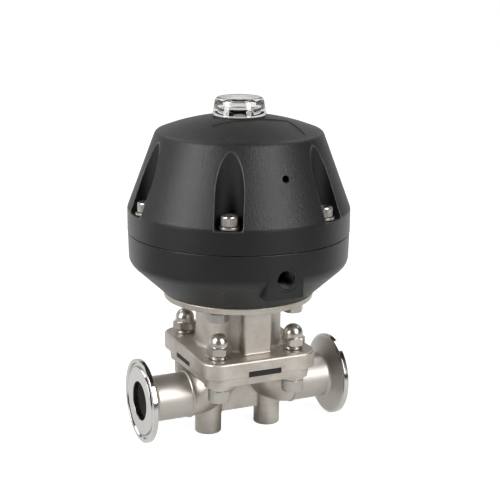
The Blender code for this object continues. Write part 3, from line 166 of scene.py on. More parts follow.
def combined(bm, tools, operation):
    """The shell left when each tool is added to it or cut from it."""
    base = as_object(bm, "base")
    others = []
    for tool in tools:
        other = as_object(tool, "tool")
        modifier = base.modifiers.new("Boolean", "BOOLEAN")
        modifier.operation = operation
        modifier.solver = "EXACT"
        modifier.object = other
        others.append(other)
    graph = bpy.context.evaluated_depsgraph_get()
    evaluated = base.evaluated_get(graph)
    result = bmesh.new()
    result.from_mesh(evaluated.to_mesh())
    evaluated.to_mesh_clear()
    for obj in [base] + others:
        mesh = obj.data
        bpy.data.objects.remove(obj, do_unlink=True)
        bpy.data.meshes.remove(mesh)
    bmesh.ops.remove_doubles(result, verts=result.verts, dist=SAME_POINT)
    return result


def with_added(bm, *tools):
    return combined(bm, tools, "UNION")


def with_cut(bm, *tools):
    return combined(bm, tools, "DIFFERENCE")


# %% Boxes, hexagons and places
PAST = 0.001  # how far a cutter passes the face that it opens


def slab(low, high):
    """A box between two corners."""
    low, high = Vector(low), Vector(high)
    bm = bmesh.new()
    bmesh.ops.create_cube(bm, size=1)
    bmesh.ops.scale(bm, vec=high - low, verts=bm.verts)
    bmesh.ops.translate(bm, vec=(low + high) / 2, verts=bm.verts)
    return bm


def to_corner(flats):
    """From a hexagon's middle to its corners."""
    return flats / 2 / math.cos(math.radians(30))


def hexagon(flats, low, high):
    bm = bmesh.new()
    radius = to_corner(flats)
    bmesh.ops.create_cone(bm, cap_ends=True, segments=6, radius1=radius, radius2=radius, depth=high - low)
    bmesh.ops.translate(bm, vec=(0, 0, (low + high) / 2), verts=bm.verts)
    return bm


def moved(bm, x=0.0, y=0.0, z=0.0):
    bmesh.ops.translate(bm, vec=(x, y, z), verts=bm.verts)
    return bm


def turned(bm, angle, axis):
    bmesh.ops.rotate(bm, cent=(0, 0, 0), matrix=Matrix.Rotation(angle, 3, axis), verts=bm.verts)
    return bm


def around(count, radius, start):
    """Places spread evenly on a circle, the first at the start angle."""
    angles = [start + math.tau * i / count for i in range(count)]
    return [(radius * math.cos(a), radius * math.sin(a)) for a in angles]


def rods(places, radius, low, high, steps=HOLE_TURN):
    """The same upright bar at several places."""
    return [moved(rod(radius, low, high, steps), x, y) for x, y in places]


# %% Round chosen edges
BEVEL_SEGMENTS = 3
RIM_SEGMENTS = 4


def upright_edges(bm):
    return [e for e in bm.edges if abs(e.verts[0].co.z - e.verts[1].co.z) > SAME_POINT]


def edges_at(bm, height):
    return [e for e in bm.edges if all(abs(v.co.z - height) < SAME_POINT for v in e.verts)]


def round_off(bm, edges, width, segments=RIM_SEGMENTS):
    """Rounds the given edges of a simple form, before anything is joined to it."""
    bmesh.ops.bevel(
        bm, geom=edges, offset=width, segments=segments, profile=0.5, affect="EDGES", material=-1
    )
    return bm


def soften(bm, width, chosen, segments=BEVEL_SEGMENTS, least=25):
    """Rounds the sharp edges for which chosen(middle, convex) is true."""
    bm.normal_update()
    sharp = []
    for edge in bm.edges:
        if len(edge.link_faces) != 2 or edge.calc_face_angle() < math.radians(least):
            continue
        middle = (edge.verts[0].co + edge.verts[1].co) / 2
        if chosen(middle, edge.is_convex):
            sharp.append(edge)
    bmesh.ops.bevel(
        bm,
        geom=sharp,
        offset=width,
        offset_type="OFFSET",
        segments=segments,
        profile=0.5,
        affect="EDGES",
        clamp_overlap=False,
        material=-1,
    )
    return bm


def everywhere(middle, convex):
    return True


# %% Turn a shell into a piece of the valve
SHARP_FROM = math.radians(38)


def weigh_normals(obj):
    """Lets the large faces keep their own direction, so that only the narrow rounded edges blend."""
    modifier = obj.modifiers.new("weighted_normals", "WEIGHTED_NORMAL")
    modifier.keep_sharp = True
    graph = bpy.context.evaluated_depsgraph_get()
    mesh = bpy.data.meshes.new_from_object(obj.evaluated_get(graph))
    obj.modifiers.clear()
    obj.data = mesh


def piece(bm, name, body, stands_for=(), sharp=SHARP_FROM):
    """A finished piece that rides on a body and stands for CAD nodes."""
    obj = as_object(bm, name)
    obj.data.shade_smooth()
    obj.data.set_sharp_from_angle(angle=sharp)
    weigh_normals(obj)
    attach(obj, body)
    if stands_for:
        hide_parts(*stands_for)
    print(name, len(obj.data.polygons), "faces")
    return obj


# %% [markdown]
# ## Heights from the frame
# The valve is a stack, so a few heights taken from the frame place almost everything: where the flanges
# meet, where the actuator starts, its seam and its top. Reading them from the frame keeps the two models
# together when a size changes.

# %% Read the stack of heights
body_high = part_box("valve_body")[1]
bonnet_low, bonnet_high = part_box("bonnet")
base_low, base_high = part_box("actuator_base")
cover_low, cover_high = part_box("actuator_cover")
ferrule_low, ferrule_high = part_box("outlet_ferrule")
cap_low, cap_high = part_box("indicator_cap")

JOINT_PLANE = body_high.z
BONNET_UNDER = bonnet_low.z
SEAT = BONNET_UNDER - JOINT_PLANE
BONNET_TOP = bonnet_high.z
BASE_UNDER = base_low.z
SEAM = base_high.z
COVER_UNDER = cover_low.z
COVER_HEIGHT = 0.06826
APEX = COVER_UNDER + COVER_HEIGHT
PIPE_HEIGHT = (ferrule_low.z + ferrule_high.z) / 2
print(f"pipe {PIPE_HEIGHT:.4f}, joint {JOINT_PLANE:.4f}, base {BASE_UNDER:.4f}")
print(f"seam {SEAM:.4f}, apex {APEX:.4f}")

# %% [markdown]
# ## Actuator cover
# The upper housing is moulded in glass-filled nylon: a steep cone between a plain band and a low dome,
# with six deep pockets where the screws go down. It could be sculpted from a subdivided cage, but the
# pockets are true half-round columns that run out through the cone, and only a cut gives that pointed
# arch. So the cone is spun, and the pockets are cut from it.

# %% Sizes of the cover
BAND_RADIUS = cover_high.x
BAND_TOP = COVER_UNDER + 0.01393
SHOULDER_RADIUS = 0.04908
SHOULDER_HEIGHT = COVER_UNDER + 0.0588
SHOULDER_FILLET = 0.0042
CREASE_FILLET = 0.0055
COVER_WALL = 0.004
COVER_EDGE = 0.0004
CEILING_FILLET = 0.002
CLAMP_RADIUS = 0.0483
CLAMP_RING_TOP = COVER_UNDER + 0.0095
CEILING = APEX - 0.0115
SCREW_CIRCLE = 0.0586
SCREW_PLACES = around(6, SCREW_CIRCLE, math.radians(-119))
POCKET_RADIUS = 0.0080
POCKET_WALL = 0.0022
POCKET_FLOOR = COVER_UNDER + 0.0134
POCKET_REACH = 0.018  # how far a pocket is stretched outwards
POCKET_TURN = 56
SCREW_HOLE = 0.0033


# %% Outer form of the cover
def cover_form():
    sagitta = APEX - SHOULDER_HEIGHT
    dome = (SHOULDER_RADIUS**2 + sagitta**2) / (2 * sagitta)
    reach = math.degrees(math.asin(SHOULDER_RADIUS / dome))
    crown = [(r, z, 0) for r, z in arc(dome, APEX - dome, 0, reach * 0.8, 10)]
    profile = rounded(
        *crown,
        (SHOULDER_RADIUS, SHOULDER_HEIGHT, SHOULDER_FILLET),
        (BAND_RADIUS, BAND_TOP, CREASE_FILLET),
        (BAND_RADIUS, COVER_UNDER, COVER_EDGE),
        (0, COVER_UNDER, 0),
    )
    return spun(profile, LARGE_TURN, closed=False), dome


def cover_hollow():
    """The room for springs and membrane, without the columns that stand in it."""
    slope = (BAND_RADIUS - SHOULDER_RADIUS) / (SHOULDER_HEIGHT - BAND_TOP)
    inset = COVER_WALL * math.sqrt(1 + slope * slope)
    profile = rounded(
        (0, CEILING, 0),
        (SHOULDER_RADIUS + slope * (SHOULDER_HEIGHT - CEILING) - inset, CEILING, CEILING_FILLET),
        (BAND_RADIUS - inset, BAND_TOP, 0),
        (BAND_RADIUS - inset, CLAMP_RING_TOP, 0),
        (CLAMP_RADIUS, CLAMP_RING_TOP, 0),
        (CLAMP_RADIUS, COVER_UNDER - SEAT, 0),
        (0, COVER_UNDER - SEAT, 0),
    )
    hollow = spun(profile, MIDDLE_TURN, closed=False)
    low = (COVER_UNDER + CLAMP_RING_TOP) / 2
    return with_cut(hollow, *columns(POCKET_RADIUS + POCKET_WALL, low, 0))


# %% Pocket columns
POCKET_FOOT_FILLET = 0.0016


def column(x, y, radius, low, foot):
    """A round column that is stretched outwards, away from the valve's axis."""
    bm = bmesh.new()
    bmesh.ops.create_cone(
        bm, cap_ends=True, segments=POCKET_TURN, radius1=radius, radius2=radius, depth=APEX - low
    )
    outer = [vert for vert in bm.verts if vert.co.x > SAME_POINT]
    bmesh.ops.translate(bm, vec=(POCKET_REACH, 0, 0), verts=outer)
    moved(bm, z=(APEX + low) / 2)
    if foot:
        round_off(bm, edges_at(bm, low), foot)
    turned(bm, math.atan2(y, x), "Z")
    return moved(bm, x, y)


def columns(radius, low, foot):
    return [column(x, y, radius, low, foot) for x, y in SCREW_PLACES]


# %% [markdown]
# A shallow field is sunk half a millimetre into the dome on the port's side. Its floor has to follow the
# dome, so the cutter is a box from which a slightly lower dome has been taken away.

# %% Shallow field on the dome
FIELD_HALF_WIDTH = 0.0238
FIELD_NEAR = 0.0157
FIELD_FAR = 0.0378
FIELD_DEPTH = 0.0005
FIELD_EDGE = 0.0005
FIELD_PAST = 0.002  # how far the cutter's box passes the dome
FIELD_FLOOR_DEPTH = 0.02  # thickness of the form that stays under the field


def dome_field(dome):
    low = (-FIELD_HALF_WIDTH, -FIELD_FAR, SHOULDER_HEIGHT - FIELD_PAST)
    high = (FIELD_HALF_WIDTH, -FIELD_NEAR, APEX + FIELD_PAST)
    angle = math.degrees(math.asin(SHOULDER_RADIUS / dome))
    top = arc(dome, APEX - dome - FIELD_DEPTH, 0, angle, 12)
    bottom = top[-1][1] - FIELD_FLOOR_DEPTH
    floor = spun(top + [(top[-1][0], bottom), (0, bottom)], LARGE_TURN, closed=False)
    return with_cut(slab(low, high), floor)


# %% Seat of the clear cap and the vent hole
CAP_SPIGOT = 0.006  # length of the cap's spigot, below its flange
CAP_FLANGE = cap_low.z + CAP_SPIGOT
CAP_SEAT = CAP_FLANGE - SEAT
CAP_SEAT_RADIUS = 0.0163
CAP_BOSS_RADIUS = 0.0154
CAP_NECK = 0.0105
ROD_HOLE = 0.0043
VENT_RADIUS = 0.0019
VENT_HEIGHT = COVER_UNDER + 0.0396
VENT_ANGLE = math.radians(3.4)


def cap_seat():
    low = cap_low.z - SEAT
    profile = [
        (0, APEX + SEAT),
        (CAP_SEAT_RADIUS, APEX + SEAT),
        (CAP_SEAT_RADIUS, CAP_SEAT),
        (CAP_NECK, CAP_SEAT),
        (CAP_NECK, low),
        (ROD_HOLE, low),
        (ROD_HOLE, CEILING - SEAT),
        (0, CEILING - SEAT),
    ]
    return spun(profile, MIDDLE_TURN, closed=False)


def vent():
    bm = turned(rod(VENT_RADIUS, 0, BAND_RADIUS), math.pi / 2, "X")
    return moved(turned(bm, VENT_ANGLE, "Z"), z=VENT_HEIGHT)


# %% Build the cover
POCKET_EDGE = 0.0005
LIP_RADIUS = 0.0640
SHORT_EDGE = 0.00012


def on_a_pocket(middle, convex):
    """Whether a point lies on the mouth of one of the six pockets, its floor's lip included."""
    if not convex or not POCKET_FLOOR - SEAT < middle.z < SHOULDER_HEIGHT:
        return False
    radius = math.hypot(middle.x, middle.y)
    nearest = min(math.hypot(middle.x - x, middle.y - y) for x, y in SCREW_PLACES)
    return radius > LIP_RADIUS or (radius > CLAMP_RADIUS and nearest > POCKET_RADIUS - SEAT)


def on_the_field(middle, convex):
    """Whether a point lies on the upper edge round the shallow field."""
    across = abs(abs(middle.x) - FIELD_HALF_WIDTH) < SAME_POINT
    along = min(abs(middle.y + FIELD_NEAR), abs(middle.y + FIELD_FAR)) < SAME_POINT
    return convex and (across or along) and middle.z > SHOULDER_HEIGHT


shell, dome_radius = cover_form()
shell = with_cut(shell, cover_hollow())
shell = with_cut(shell, *columns(POCKET_RADIUS, POCKET_FLOOR, POCKET_FOOT_FILLET))
shell = with_cut(shell, *rods(SCREW_PLACES, SCREW_HOLE, SEAM, APEX))
shell = with_added(shell, rod(CAP_BOSS_RADIUS, SHOULDER_HEIGHT, APEX, MIDDLE_TURN))
shell = with_cut(shell, cap_seat(), vent(), dome_field(dome_radius))
bmesh.ops.remove_doubles(shell, verts=shell.verts, dist=SHORT_EDGE)
soften(shell, POCKET_EDGE, on_a_pocket)
soften(shell, FIELD_EDGE, on_the_field)
cover = piece(shell, "cover_shell", "housing", ["actuator_cover"])

# %% [markdown]
# ## Actuator base
# The lower housing is a bowl of the same nylon with a square block on one side for the air fitting. The
# bowl is spun like the cover. The block has to blend into a curved wall, so a box is simply joined to it.
# The air port is a threaded hole, and its thread catches a little light, so it is worth cutting.

# %% Sizes of the base
BASE_SEAM_RADIUS = base_high.x
BASE_SHOULDER = BASE_UNDER + 0.01845
BASE_SHOULDER_RADIUS = 0.0654
BASE_SHOULDER_FILLET = 0.008
BASE_FOOT_RADIUS = 0.0454
BASE_FOOT_EDGE = 0.0005
BASE_FLOOR_TOP = BASE_UNDER + 0.005
BASE_FLOOR_RADIUS = 0.0460
BASE_FLOOR_FILLET = 0.001
CLAMP_WALL_LOW = SEAM - 0.016
RIM_RADIUS = 0.0551
RIM_LEDGE = SEAM - 0.0033
PORT_SIDE = -BAND_RADIUS
PORT_HEIGHT = BASE_UNDER + 0.02115
PORT_BLOCK_HALF = 0.0114
PORT_BLOCK_EDGE = 0.0006
PORT_BLOCK_LOW = PORT_HEIGHT - PORT_BLOCK_HALF
PORT_BLOCK_HIGH = PORT_HEIGHT + 0.0144
PORT_BLOCK_DEPTH = 0.015
PORT_BLOCK_RADIUS = BASE_SEAM_RADIUS - 0.0001
PORT_RADIUS = 0.0053
PORT_DEPTH = 0.021
PORT_RING_RADIUS = 0.0072
PORT_RING_DEPTH = 0.0008
FLANGE_BOLT_PLACES = around(4, 0.0345, math.radians(-134))
FLANGE_BOLT_HOLE = 0.0033
FLANGE_BOLT_HOLE_TOP = BASE_UNDER + 0.0085
BOLT_BOSS_RADIUS = 0.0065
BOLT_BOSS_TOP = BASE_UNDER + 0.0098
SEAL_BOSS_RADIUS = 0.0135
SEAL_BOSS_TOP = BASE_FLOOR_TOP + 0.003
SEAL_FLOOR = BASE_UNDER + 0.002
COVER_SCREW_HOLE_END = SEAM - 0.0145
SPINDLE_HOLE = 0.0063
GUIDE_HOLE = 0.0093


# %% Outer form and hollow of the base
def base_form():
    profile = rounded(
        (0, SEAM, 0),
        (BASE_SEAM_RADIUS, SEAM, COVER_EDGE),
        (BASE_SHOULDER_RADIUS, BASE_SHOULDER, BASE_SHOULDER_FILLET),
        (BASE_FOOT_RADIUS, BASE_UNDER, BASE_FOOT_EDGE),
        (0, BASE_UNDER, 0),
    )
    return spun(profile, LARGE_TURN, closed=False)


def base_hollow():
    profile = rounded(
        (0, SEAM + SEAT, 0),
        (RIM_RADIUS, SEAM + SEAT, 0),
        (RIM_RADIUS, RIM_LEDGE, 0),
        (CLAMP_RADIUS, RIM_LEDGE, 0),
        (CLAMP_RADIUS, CLAMP_WALL_LOW, 0),
        (BASE_FLOOR_RADIUS, BASE_FLOOR_TOP, BASE_FLOOR_FILLET),
        (0, BASE_FLOOR_TOP, 0),
    )
    hollow = spun(profile, MIDDLE_TURN, closed=False)
    bosses = rods(FLANGE_BOLT_PLACES, BOLT_BOSS_RADIUS, BASE_UNDER, BOLT_BOSS_TOP, SMALL_TURN)
    bosses.append(rod(SEAL_BOSS_RADIUS, BASE_UNDER, SEAL_BOSS_TOP))
    return with_cut(hollow, *bosses)


# %% The air port
def port_cutter(radius, depth):
    """A round cutter that goes in from the actuator's side."""
    bm = turned(rod(radius, -PAST, depth), -math.pi / 2, "X")
    return moved(bm, 0, PORT_SIDE, PORT_HEIGHT)


def port_block():
    """A block whose face is as round as the base, so that it is flush with the base near the seam."""
    bm = slab(
        (-PORT_BLOCK_HALF, PORT_SIDE, PORT_BLOCK_LOW),
        (PORT_BLOCK_HALF, PORT_SIDE + PORT_BLOCK_DEPTH, PORT_BLOCK_HIGH),
    )
    bm = combined(bm, [rod(PORT_BLOCK_RADIUS, BASE_UNDER, SEAM, LARGE_TURN)], "INTERSECT")
    return soften(bm, PORT_BLOCK_EDGE, lambda middle, convex: middle.y < PORT_SIDE + PORT_BLOCK_DEPTH / 2)


# %% The thread in the port
THREAD_PITCH = 0.00091
THREAD_HEIGHT = 0.00055
THREAD_TURNS = 13
THREAD_STEPS = 36
THREAD_FOOT = 0.42  # half the ridge's width at its foot, as a share of the pitch


def port_thread():
    """One ridge of triangular section, swept along a helix inside the hole."""
    bm = bmesh.new()
    half = THREAD_PITCH * THREAD_FOOT
    section = [(PORT_RADIUS, -half), (PORT_RADIUS - THREAD_HEIGHT, 0), (PORT_RADIUS, half)]
    verts = [bm.verts.new((r, 0, z)) for r, z in section]
    face = bm.faces.new(verts)
    section = [face] + face.edges[:] + verts
    swept(bm, section, math.tau * THREAD_TURNS, THREAD_PITCH * THREAD_TURNS, THREAD_TURNS * THREAD_STEPS)
    bmesh.ops.recalc_face_normals(bm, faces=bm.faces)
    turned(bm, -math.pi / 2, "X")
    return moved(bm, 0, PORT_SIDE + PORT_RING_DEPTH + THREAD_PITCH, PORT_HEIGHT)


# %% Build the base
def base_cuts():
    cutters = rods(FLANGE_BOLT_PLACES, FLANGE_BOLT_HOLE, BASE_UNDER - SEAT, FLANGE_BOLT_HOLE_TOP)
    cutters += rods(SCREW_PLACES, SCREW_HOLE, COVER_SCREW_HOLE_END, COVER_UNDER)
    cutters.append(rod(SPINDLE_HOLE, BASE_UNDER - SEAT, SEAL_BOSS_TOP + PAST))
    cutters.append(rod(GUIDE_HOLE, SEAL_FLOOR, SEAL_BOSS_TOP + PAST))
    return cutters


bowl = with_added(base_form(), port_block())
bowl = with_cut(bowl, base_hollow())
bowl = with_cut(bowl, *base_cuts())
bowl = with_cut(bowl, port_cutter(PORT_RADIUS, PORT_DEPTH), port_cutter(PORT_RING_RADIUS, PORT_RING_DEPTH))
base = piece(bowl, "base_shell", "housing", ["actuator_base"])
thread = piece(port_thread(), "port_thread", "housing")

# %% [markdown]
# ## Bonnet
# The bonnet is an investment casting: a square flange with rounded corners, a round neck with a flat pad
# on two sides and a round flange for the actuator. Castings have no knife edges, because metal and wax
# fill corners poorly, so every outside edge is rounded and every inside corner has a fillet.

# %% Sizes of the bonnet
BONNET_HALF_X = 0.036
BONNET_HALF_Y = 0.0395
BONNET_FLANGE_TOP = BONNET_UNDER + 0.0104
BONNET_CORNER = 0.0105
BONNET_EDGE = 0.0015
BONNET_UNDER_EDGE = 0.0013
BONNET_FILLET = 0.0010
CORNER_SEGMENTS = 14
SLOT_HALF = 0.0105
SLOT_TOP = BONNET_UNDER + 0.0039
NECK_RADIUS = 0.0258
NECK_WALL = 0.0032
NECK_FOOT = 0.0022
NECK_OVERLAP = 0.004
NECK_LOW = BONNET_UNDER + 0.006  # the neck ends inside the flange
TOP_FLANGE_RADIUS = 0.0454
TOP_FLANGE_UNDER = BONNET_TOP - 0.00385
TOP_FLANGE_DRAFT = 0.0007
TOP_FLANGE_EDGE = 0.0006
TOP_FLANGE_FILLET = 0.0016
PAD_HALF = 0.0090
PAD_FACE = 0.0293
PAD_EDGE = 0.0014
PAD_SUNK = 0.002
GUIDE_FLOOR = BONNET_TOP - 0.01505
CHAMBER_TOP = GUIDE_FLOOR - 0.002
DIAPHRAGM_ROOM = 0.0303
BOLT_X = 0.024
BOLT_Y = 0.027
BOLT_PLACES = [(-BOLT_X, -BOLT_Y), (BOLT_X, -BOLT_Y), (BOLT_X, BOLT_Y), (-BOLT_X, BOLT_Y)]
BOLT_HOLE = 0.0043


# %% A flange plate
def flange_plate(half_x, half_y, low, high, corner, top_edge, under_edge):
    """A plate with round corners whose upper and lower rims are rounded too."""
    bm = slab((-half_x, -half_y, low), (half_x, half_y, high))
    round_off(bm, upright_edges(bm), corner, CORNER_SEGMENTS)
    round_off(bm, edges_at(bm, high), top_edge)
    return round_off(bm, edges_at(bm, low), under_edge)


# %% Neck and top flange
def bonnet_neck():
    profile = rounded(
        (0, BONNET_TOP, 0),
        (TOP_FLANGE_RADIUS, BONNET_TOP, TOP_FLANGE_EDGE),
        (TOP_FLANGE_RADIUS - TOP_FLANGE_DRAFT, TOP_FLANGE_UNDER, TOP_FLANGE_EDGE),
        (NECK_RADIUS, TOP_FLANGE_UNDER, TOP_FLANGE_FILLET),
        (NECK_RADIUS, BONNET_FLANGE_TOP, NECK_FOOT),
        (NECK_RADIUS + NECK_OVERLAP, BONNET_FLANGE_TOP, 0),
        (NECK_RADIUS + NECK_OVERLAP, NECK_LOW, 0),
        (0, NECK_LOW, 0),
    )
    return spun(profile, LARGE_TURN, closed=False)


def bonnet_pad(side):
    """A flat pad up one side of the neck, with rounded upright edges and a small foot."""
    ends = sorted((side * NECK_RADIUS / 2, side * PAD_FACE))
    low = BONNET_FLANGE_TOP - PAD_SUNK
    high = (TOP_FLANGE_UNDER + BONNET_TOP) / 2
    bm = slab((-PAD_HALF, ends[0], low), (PAD_HALF, ends[1], high))
    return round_off(bm, upright_edges(bm), PAD_EDGE)


# %% Rooms and holes in the bonnet
def bonnet_cuts():
    low = BONNET_UNDER - SEAT
    chamber = [
        (0, BONNET_TOP + SEAT),
        (GUIDE_HOLE, BONNET_TOP + SEAT),
        (GUIDE_HOLE, GUIDE_FLOOR),
        (SPINDLE_HOLE, GUIDE_FLOOR),
        (SPINDLE_HOLE, CHAMBER_TOP),
        (NECK_RADIUS - NECK_WALL, CHAMBER_TOP),
        (NECK_RADIUS - NECK_WALL, SLOT_TOP),
        (DIAPHRAGM_ROOM, SLOT_TOP),
        (DIAPHRAGM_ROOM, low),
        (0, low),
    ]
    cutters = [spun(chamber, MIDDLE_TURN, closed=False)]
    cutters.append(slab((-BONNET_HALF_X * 2, -SLOT_HALF, low), (BONNET_HALF_X * 2, SLOT_HALF, SLOT_TOP)))
    cutters.append(slab((-SLOT_HALF, -BONNET_HALF_Y * 2, low), (SLOT_HALF, BONNET_HALF_Y * 2, SLOT_TOP)))
    cutters += rods(BOLT_PLACES, BOLT_HOLE, 0, TOP_FLANGE_UNDER - PAST)
    cutters += rods(FLANGE_BOLT_PLACES, FLANGE_BOLT_HOLE, BONNET_FLANGE_TOP + NECK_OVERLAP, SEAM)
    return cutters


# %% Build the bonnet
def bonnet_crossing(middle, convex):
    """Inside corners where the pads meet neck and flanges."""
    near_pad = abs(middle.x) < PAD_HALF + 0.002 and NECK_RADIUS - 0.003 < abs(middle.y) < PAD_FACE + 0.001
    return near_pad and not convex and BONNET_FLANGE_TOP - 0.001 < middle.z < BONNET_TOP


casting = flange_plate(
    BONNET_HALF_X,
    BONNET_HALF_Y,
    BONNET_UNDER,
    BONNET_FLANGE_TOP,
    BONNET_CORNER,
    BONNET_EDGE,
    BONNET_UNDER_EDGE,
)
casting = with_added(casting, bonnet_neck())
casting = with_added(casting, bonnet_pad(-1), bonnet_pad(1))
bmesh.ops.remove_doubles(casting, verts=casting.verts, dist=SHORT_EDGE)
soften(casting, BONNET_FILLET, bonnet_crossing)
casting = with_cut(casting, *bonnet_cuts())
bonnet = piece(casting, "bonnet_casting", "housing", ["bonnet"])

# %% [markdown]
# ## Valve body
# The body is the piece that the liquid runs through. From each pipe end the bore rises to a weir in the
# middle, and outside the metal follows it, which gives the two bellies with a valley between them. Such a
# form is a loft: an oval section that changes along the pipe. Each section starts as a circle, and
# bridge_loops joins them.

# %% Sizes of the body
WELD = 0.034
TUBE_RADIUS = 0.0137
BORE = 0.0117
BODY_HALF_X = 0.033
BODY_HALF_Y = 0.0365
FLANGE_UNDER = JOINT_PLANE - 0.005
LUG_UNDER = FLANGE_UNDER - 0.0013
FLANGE_CORNER = 0.0093
FLANGE_TOP_EDGE = 0.0009
FLANGE_UNDER_EDGE = 0.0008
LUG_RADIUS = 0.0088
LUG_EDGE = 0.0005
BODY_WASHER_RADIUS = 0.0068
BELLY_ROOM = 0.0005  # between a belly and the washers beside it
BELLY_HALF_WIDTH = BOLT_Y - BODY_WASHER_RADIUS - BELLY_ROOM
BELLY_WALL = 0.0027
BELLY_LENGTH = 0.030
BELLY_SWELL = 0.012
BELLY_ROOF = JOINT_PLANE - 0.0025  # inside the flange, where the bellies and lugs end
WEIR_DEPTH = 0.0093
WEIR_TOP = JOINT_PLANE - WEIR_DEPTH
BOWL_RADIUS = 0.024
DISH_RADIUS = (BOWL_RADIUS**2 + WEIR_DEPTH**2) / (2 * WEIR_DEPTH)
VALLEY = WEIR_TOP - 0.003
LEG_RADIUS = 0.0080
LEG_OFFSET = 0.0197
LEG_EDGE = 0.0007
RIB_HALF = 0.0025
RIB_OVERLAP = 0.0015


# %% Section of a belly
def belly(x, end_radius, half_width, roof, length, ceiling):
    """Half width, waist, lowest and highest line of the oval at one place along the pipe."""
    share = min(1, max(0, (WELD - abs(x)) / BELLY_SWELL))
    grown = share * share * (3 - 2 * share)
    reach = min(1, max(0, (WELD - abs(x)) / length))
    bottom = PIPE_HEIGHT - end_radius
    low = min(ceiling, FLANGE_UNDER - (FLANGE_UNDER - bottom) * math.sqrt(1 - reach * reach))
    waist = PIPE_HEIGHT + (FLANGE_UNDER - PIPE_HEIGHT) * grown
    high = PIPE_HEIGHT + end_radius + (roof - PIPE_HEIGHT - end_radius) * grown
    return end_radius + (half_width - end_radius) * grown, waist, low, high


def lofted(stations, size_at, points=64):
    """A closed skin through one oval at each station along X."""
    bm = bmesh.new()
    rings = []
    for x in stations:
        width, waist, low, high = size_at(x)
        made = bmesh.ops.create_circle(bm, cap_ends=False, segments=points, radius=1)["verts"]
        for vert in made:
            rise = vert.co.y
            drop = high - waist if rise > 0 else waist - low
            vert.co = (x, width * vert.co.x, waist + rise * drop)
        bm.edges.ensure_lookup_table()
        rings.append(bm.edges[-points:])
    for one, two in zip(rings, rings[1:]):
        bmesh.ops.bridge_loops(bm, edges=one + two)
    for ring in (rings[0], rings[-1]):
        bmesh.ops.contextual_create(bm, geom=ring)
    bmesh.ops.recalc_face_normals(bm, faces=bm.faces)
    return bm


# %% Outer skin, legs, rib and lugs
def belly_skin():
    count = 40
    stations = [-WELD + 2 * WELD * i / count for i in range(count + 1)]
    return lofted(
        stations, lambda x: belly(x, TUBE_RADIUS, BELLY_HALF_WIDTH, BELLY_ROOF, BELLY_LENGTH, VALLEY)
    )


def leg(side):
    high = PIPE_HEIGHT - TUBE_RADIUS / 4
    profile = rounded((0, high, 0), (LEG_RADIUS, high, 0), (LEG_RADIUS, 0, LEG_EDGE), (0, 0, 0))
    return moved(spun(profile, MIDDLE_TURN, closed=False), side * LEG_OFFSET)


def rib():
    low = (-LEG_OFFSET, -RIB_HALF, PIPE_HEIGHT - TUBE_RADIUS)
    return slab(low, (LEG_OFFSET, RIB_HALF, VALLEY + RIB_OVERLAP))


def lug(x, y):
    profile = rounded(
        (0, BELLY_ROOF, 0),
        (LUG_RADIUS, BELLY_ROOF, 0),
        (LUG_RADIUS, LUG_UNDER, LUG_EDGE),
        (0, LUG_UNDER, 0),
    )
    return moved(spun(profile, MIDDLE_TURN, closed=False), x, y)


# %% The passage through the body
LEAST_ROOM = 0.0002  # keeps the passage's last section open
PASSAGE_PAST = 0.002


def passage(side):
    length = BELLY_LENGTH - BELLY_WALL
    first = WELD - length + LEAST_ROOM
    count = 16
    stations = [side * (first + (WELD - first) * i / count) for i in range(count + 1)]
    stations.append(side * (WELD + PASSAGE_PAST))
    width = BELLY_HALF_WIDTH - BELLY_WALL
    ceiling = BELLY_ROOF - LEAST_ROOM
    return lofted(stations, lambda x: belly(x, BORE, width, BELLY_ROOF, length, ceiling), 48)


def bowl_line(radius, lowest, first, last, steps):
    """Points on the underside of a ball whose lowest point is at a height."""
    middle = lowest + radius
    return [(r, 2 * middle - z) for r, z in arc(radius, middle, first, last, steps)]


def weir_dish():
    """The part of a ball that the rubber diaphragm closes on."""
    angle = math.degrees(math.asin(BOWL_RADIUS / DISH_RADIUS))
    bowl = bowl_line(DISH_RADIUS, WEIR_TOP, angle, 0, 12)
    above = JOINT_PLANE + PAST
    return spun([(0, above), (BOWL_RADIUS, above)] + bowl, MIDDLE_TURN, closed=False)


# %% Build the body
BODY_FILLET = 0.0010
SKIN_SHARE = 0.97  # of the way out to the belly's skin, past which an edge counts as outside


def body_crossing(middle, convex):
    """Inside corners between bellies, legs, rib and flange, outside the passage and away from the lugs."""
    width, waist, low, high = belly(
        middle.x, TUBE_RADIUS, BELLY_HALF_WIDTH, JOINT_PLANE, BELLY_LENGTH, VALLEY
    )
    drop = high - waist if middle.z > waist else waist - low
    outside = math.hypot(middle.y / width, (middle.z - waist) / drop) > SKIN_SHARE
    away = min(math.hypot(middle.x - x, middle.y - y) for x, y in BOLT_PLACES) > LUG_RADIUS + BODY_FILLET
    return not convex and middle.z < FLANGE_UNDER + 0.0005 and outside and away


body = flange_plate(
    BODY_HALF_X,
    BODY_HALF_Y,
    FLANGE_UNDER,
    JOINT_PLANE,
    FLANGE_CORNER,
    FLANGE_TOP_EDGE,
    FLANGE_UNDER_EDGE,
)
body = with_added(body, belly_skin())
body = with_added(body, *[lug(x, y) for x, y in BOLT_PLACES])
body = with_added(body, leg(-1), leg(1))
body = with_added(body, rib())
body = with_cut(body, passage(-1), passage(1))
body = with_cut(body, weir_dish())
body = with_cut(body, *rods(BOLT_PLACES, BOLT_HOLE, 0, BONNET_FLANGE_TOP))
bmesh.ops.remove_doubles(body, verts=body.verts, dist=SHORT_EDGE)
soften(body, BODY_FILLET, body_crossing)
body = piece(body, "body_casting", "housing", ["valve_body"])

# %% [markdown]
# ## Clamp ferrules
# A ferrule is turned from bar: a tube stub, a thin rim with a sloping back that the clamp squeezes, and a
# round groove in its face for the gasket. It is a pure lathe form, so one profile says it all. The weld
# that joins it to the casting is a narrow ring that stands a little proud of the tube.

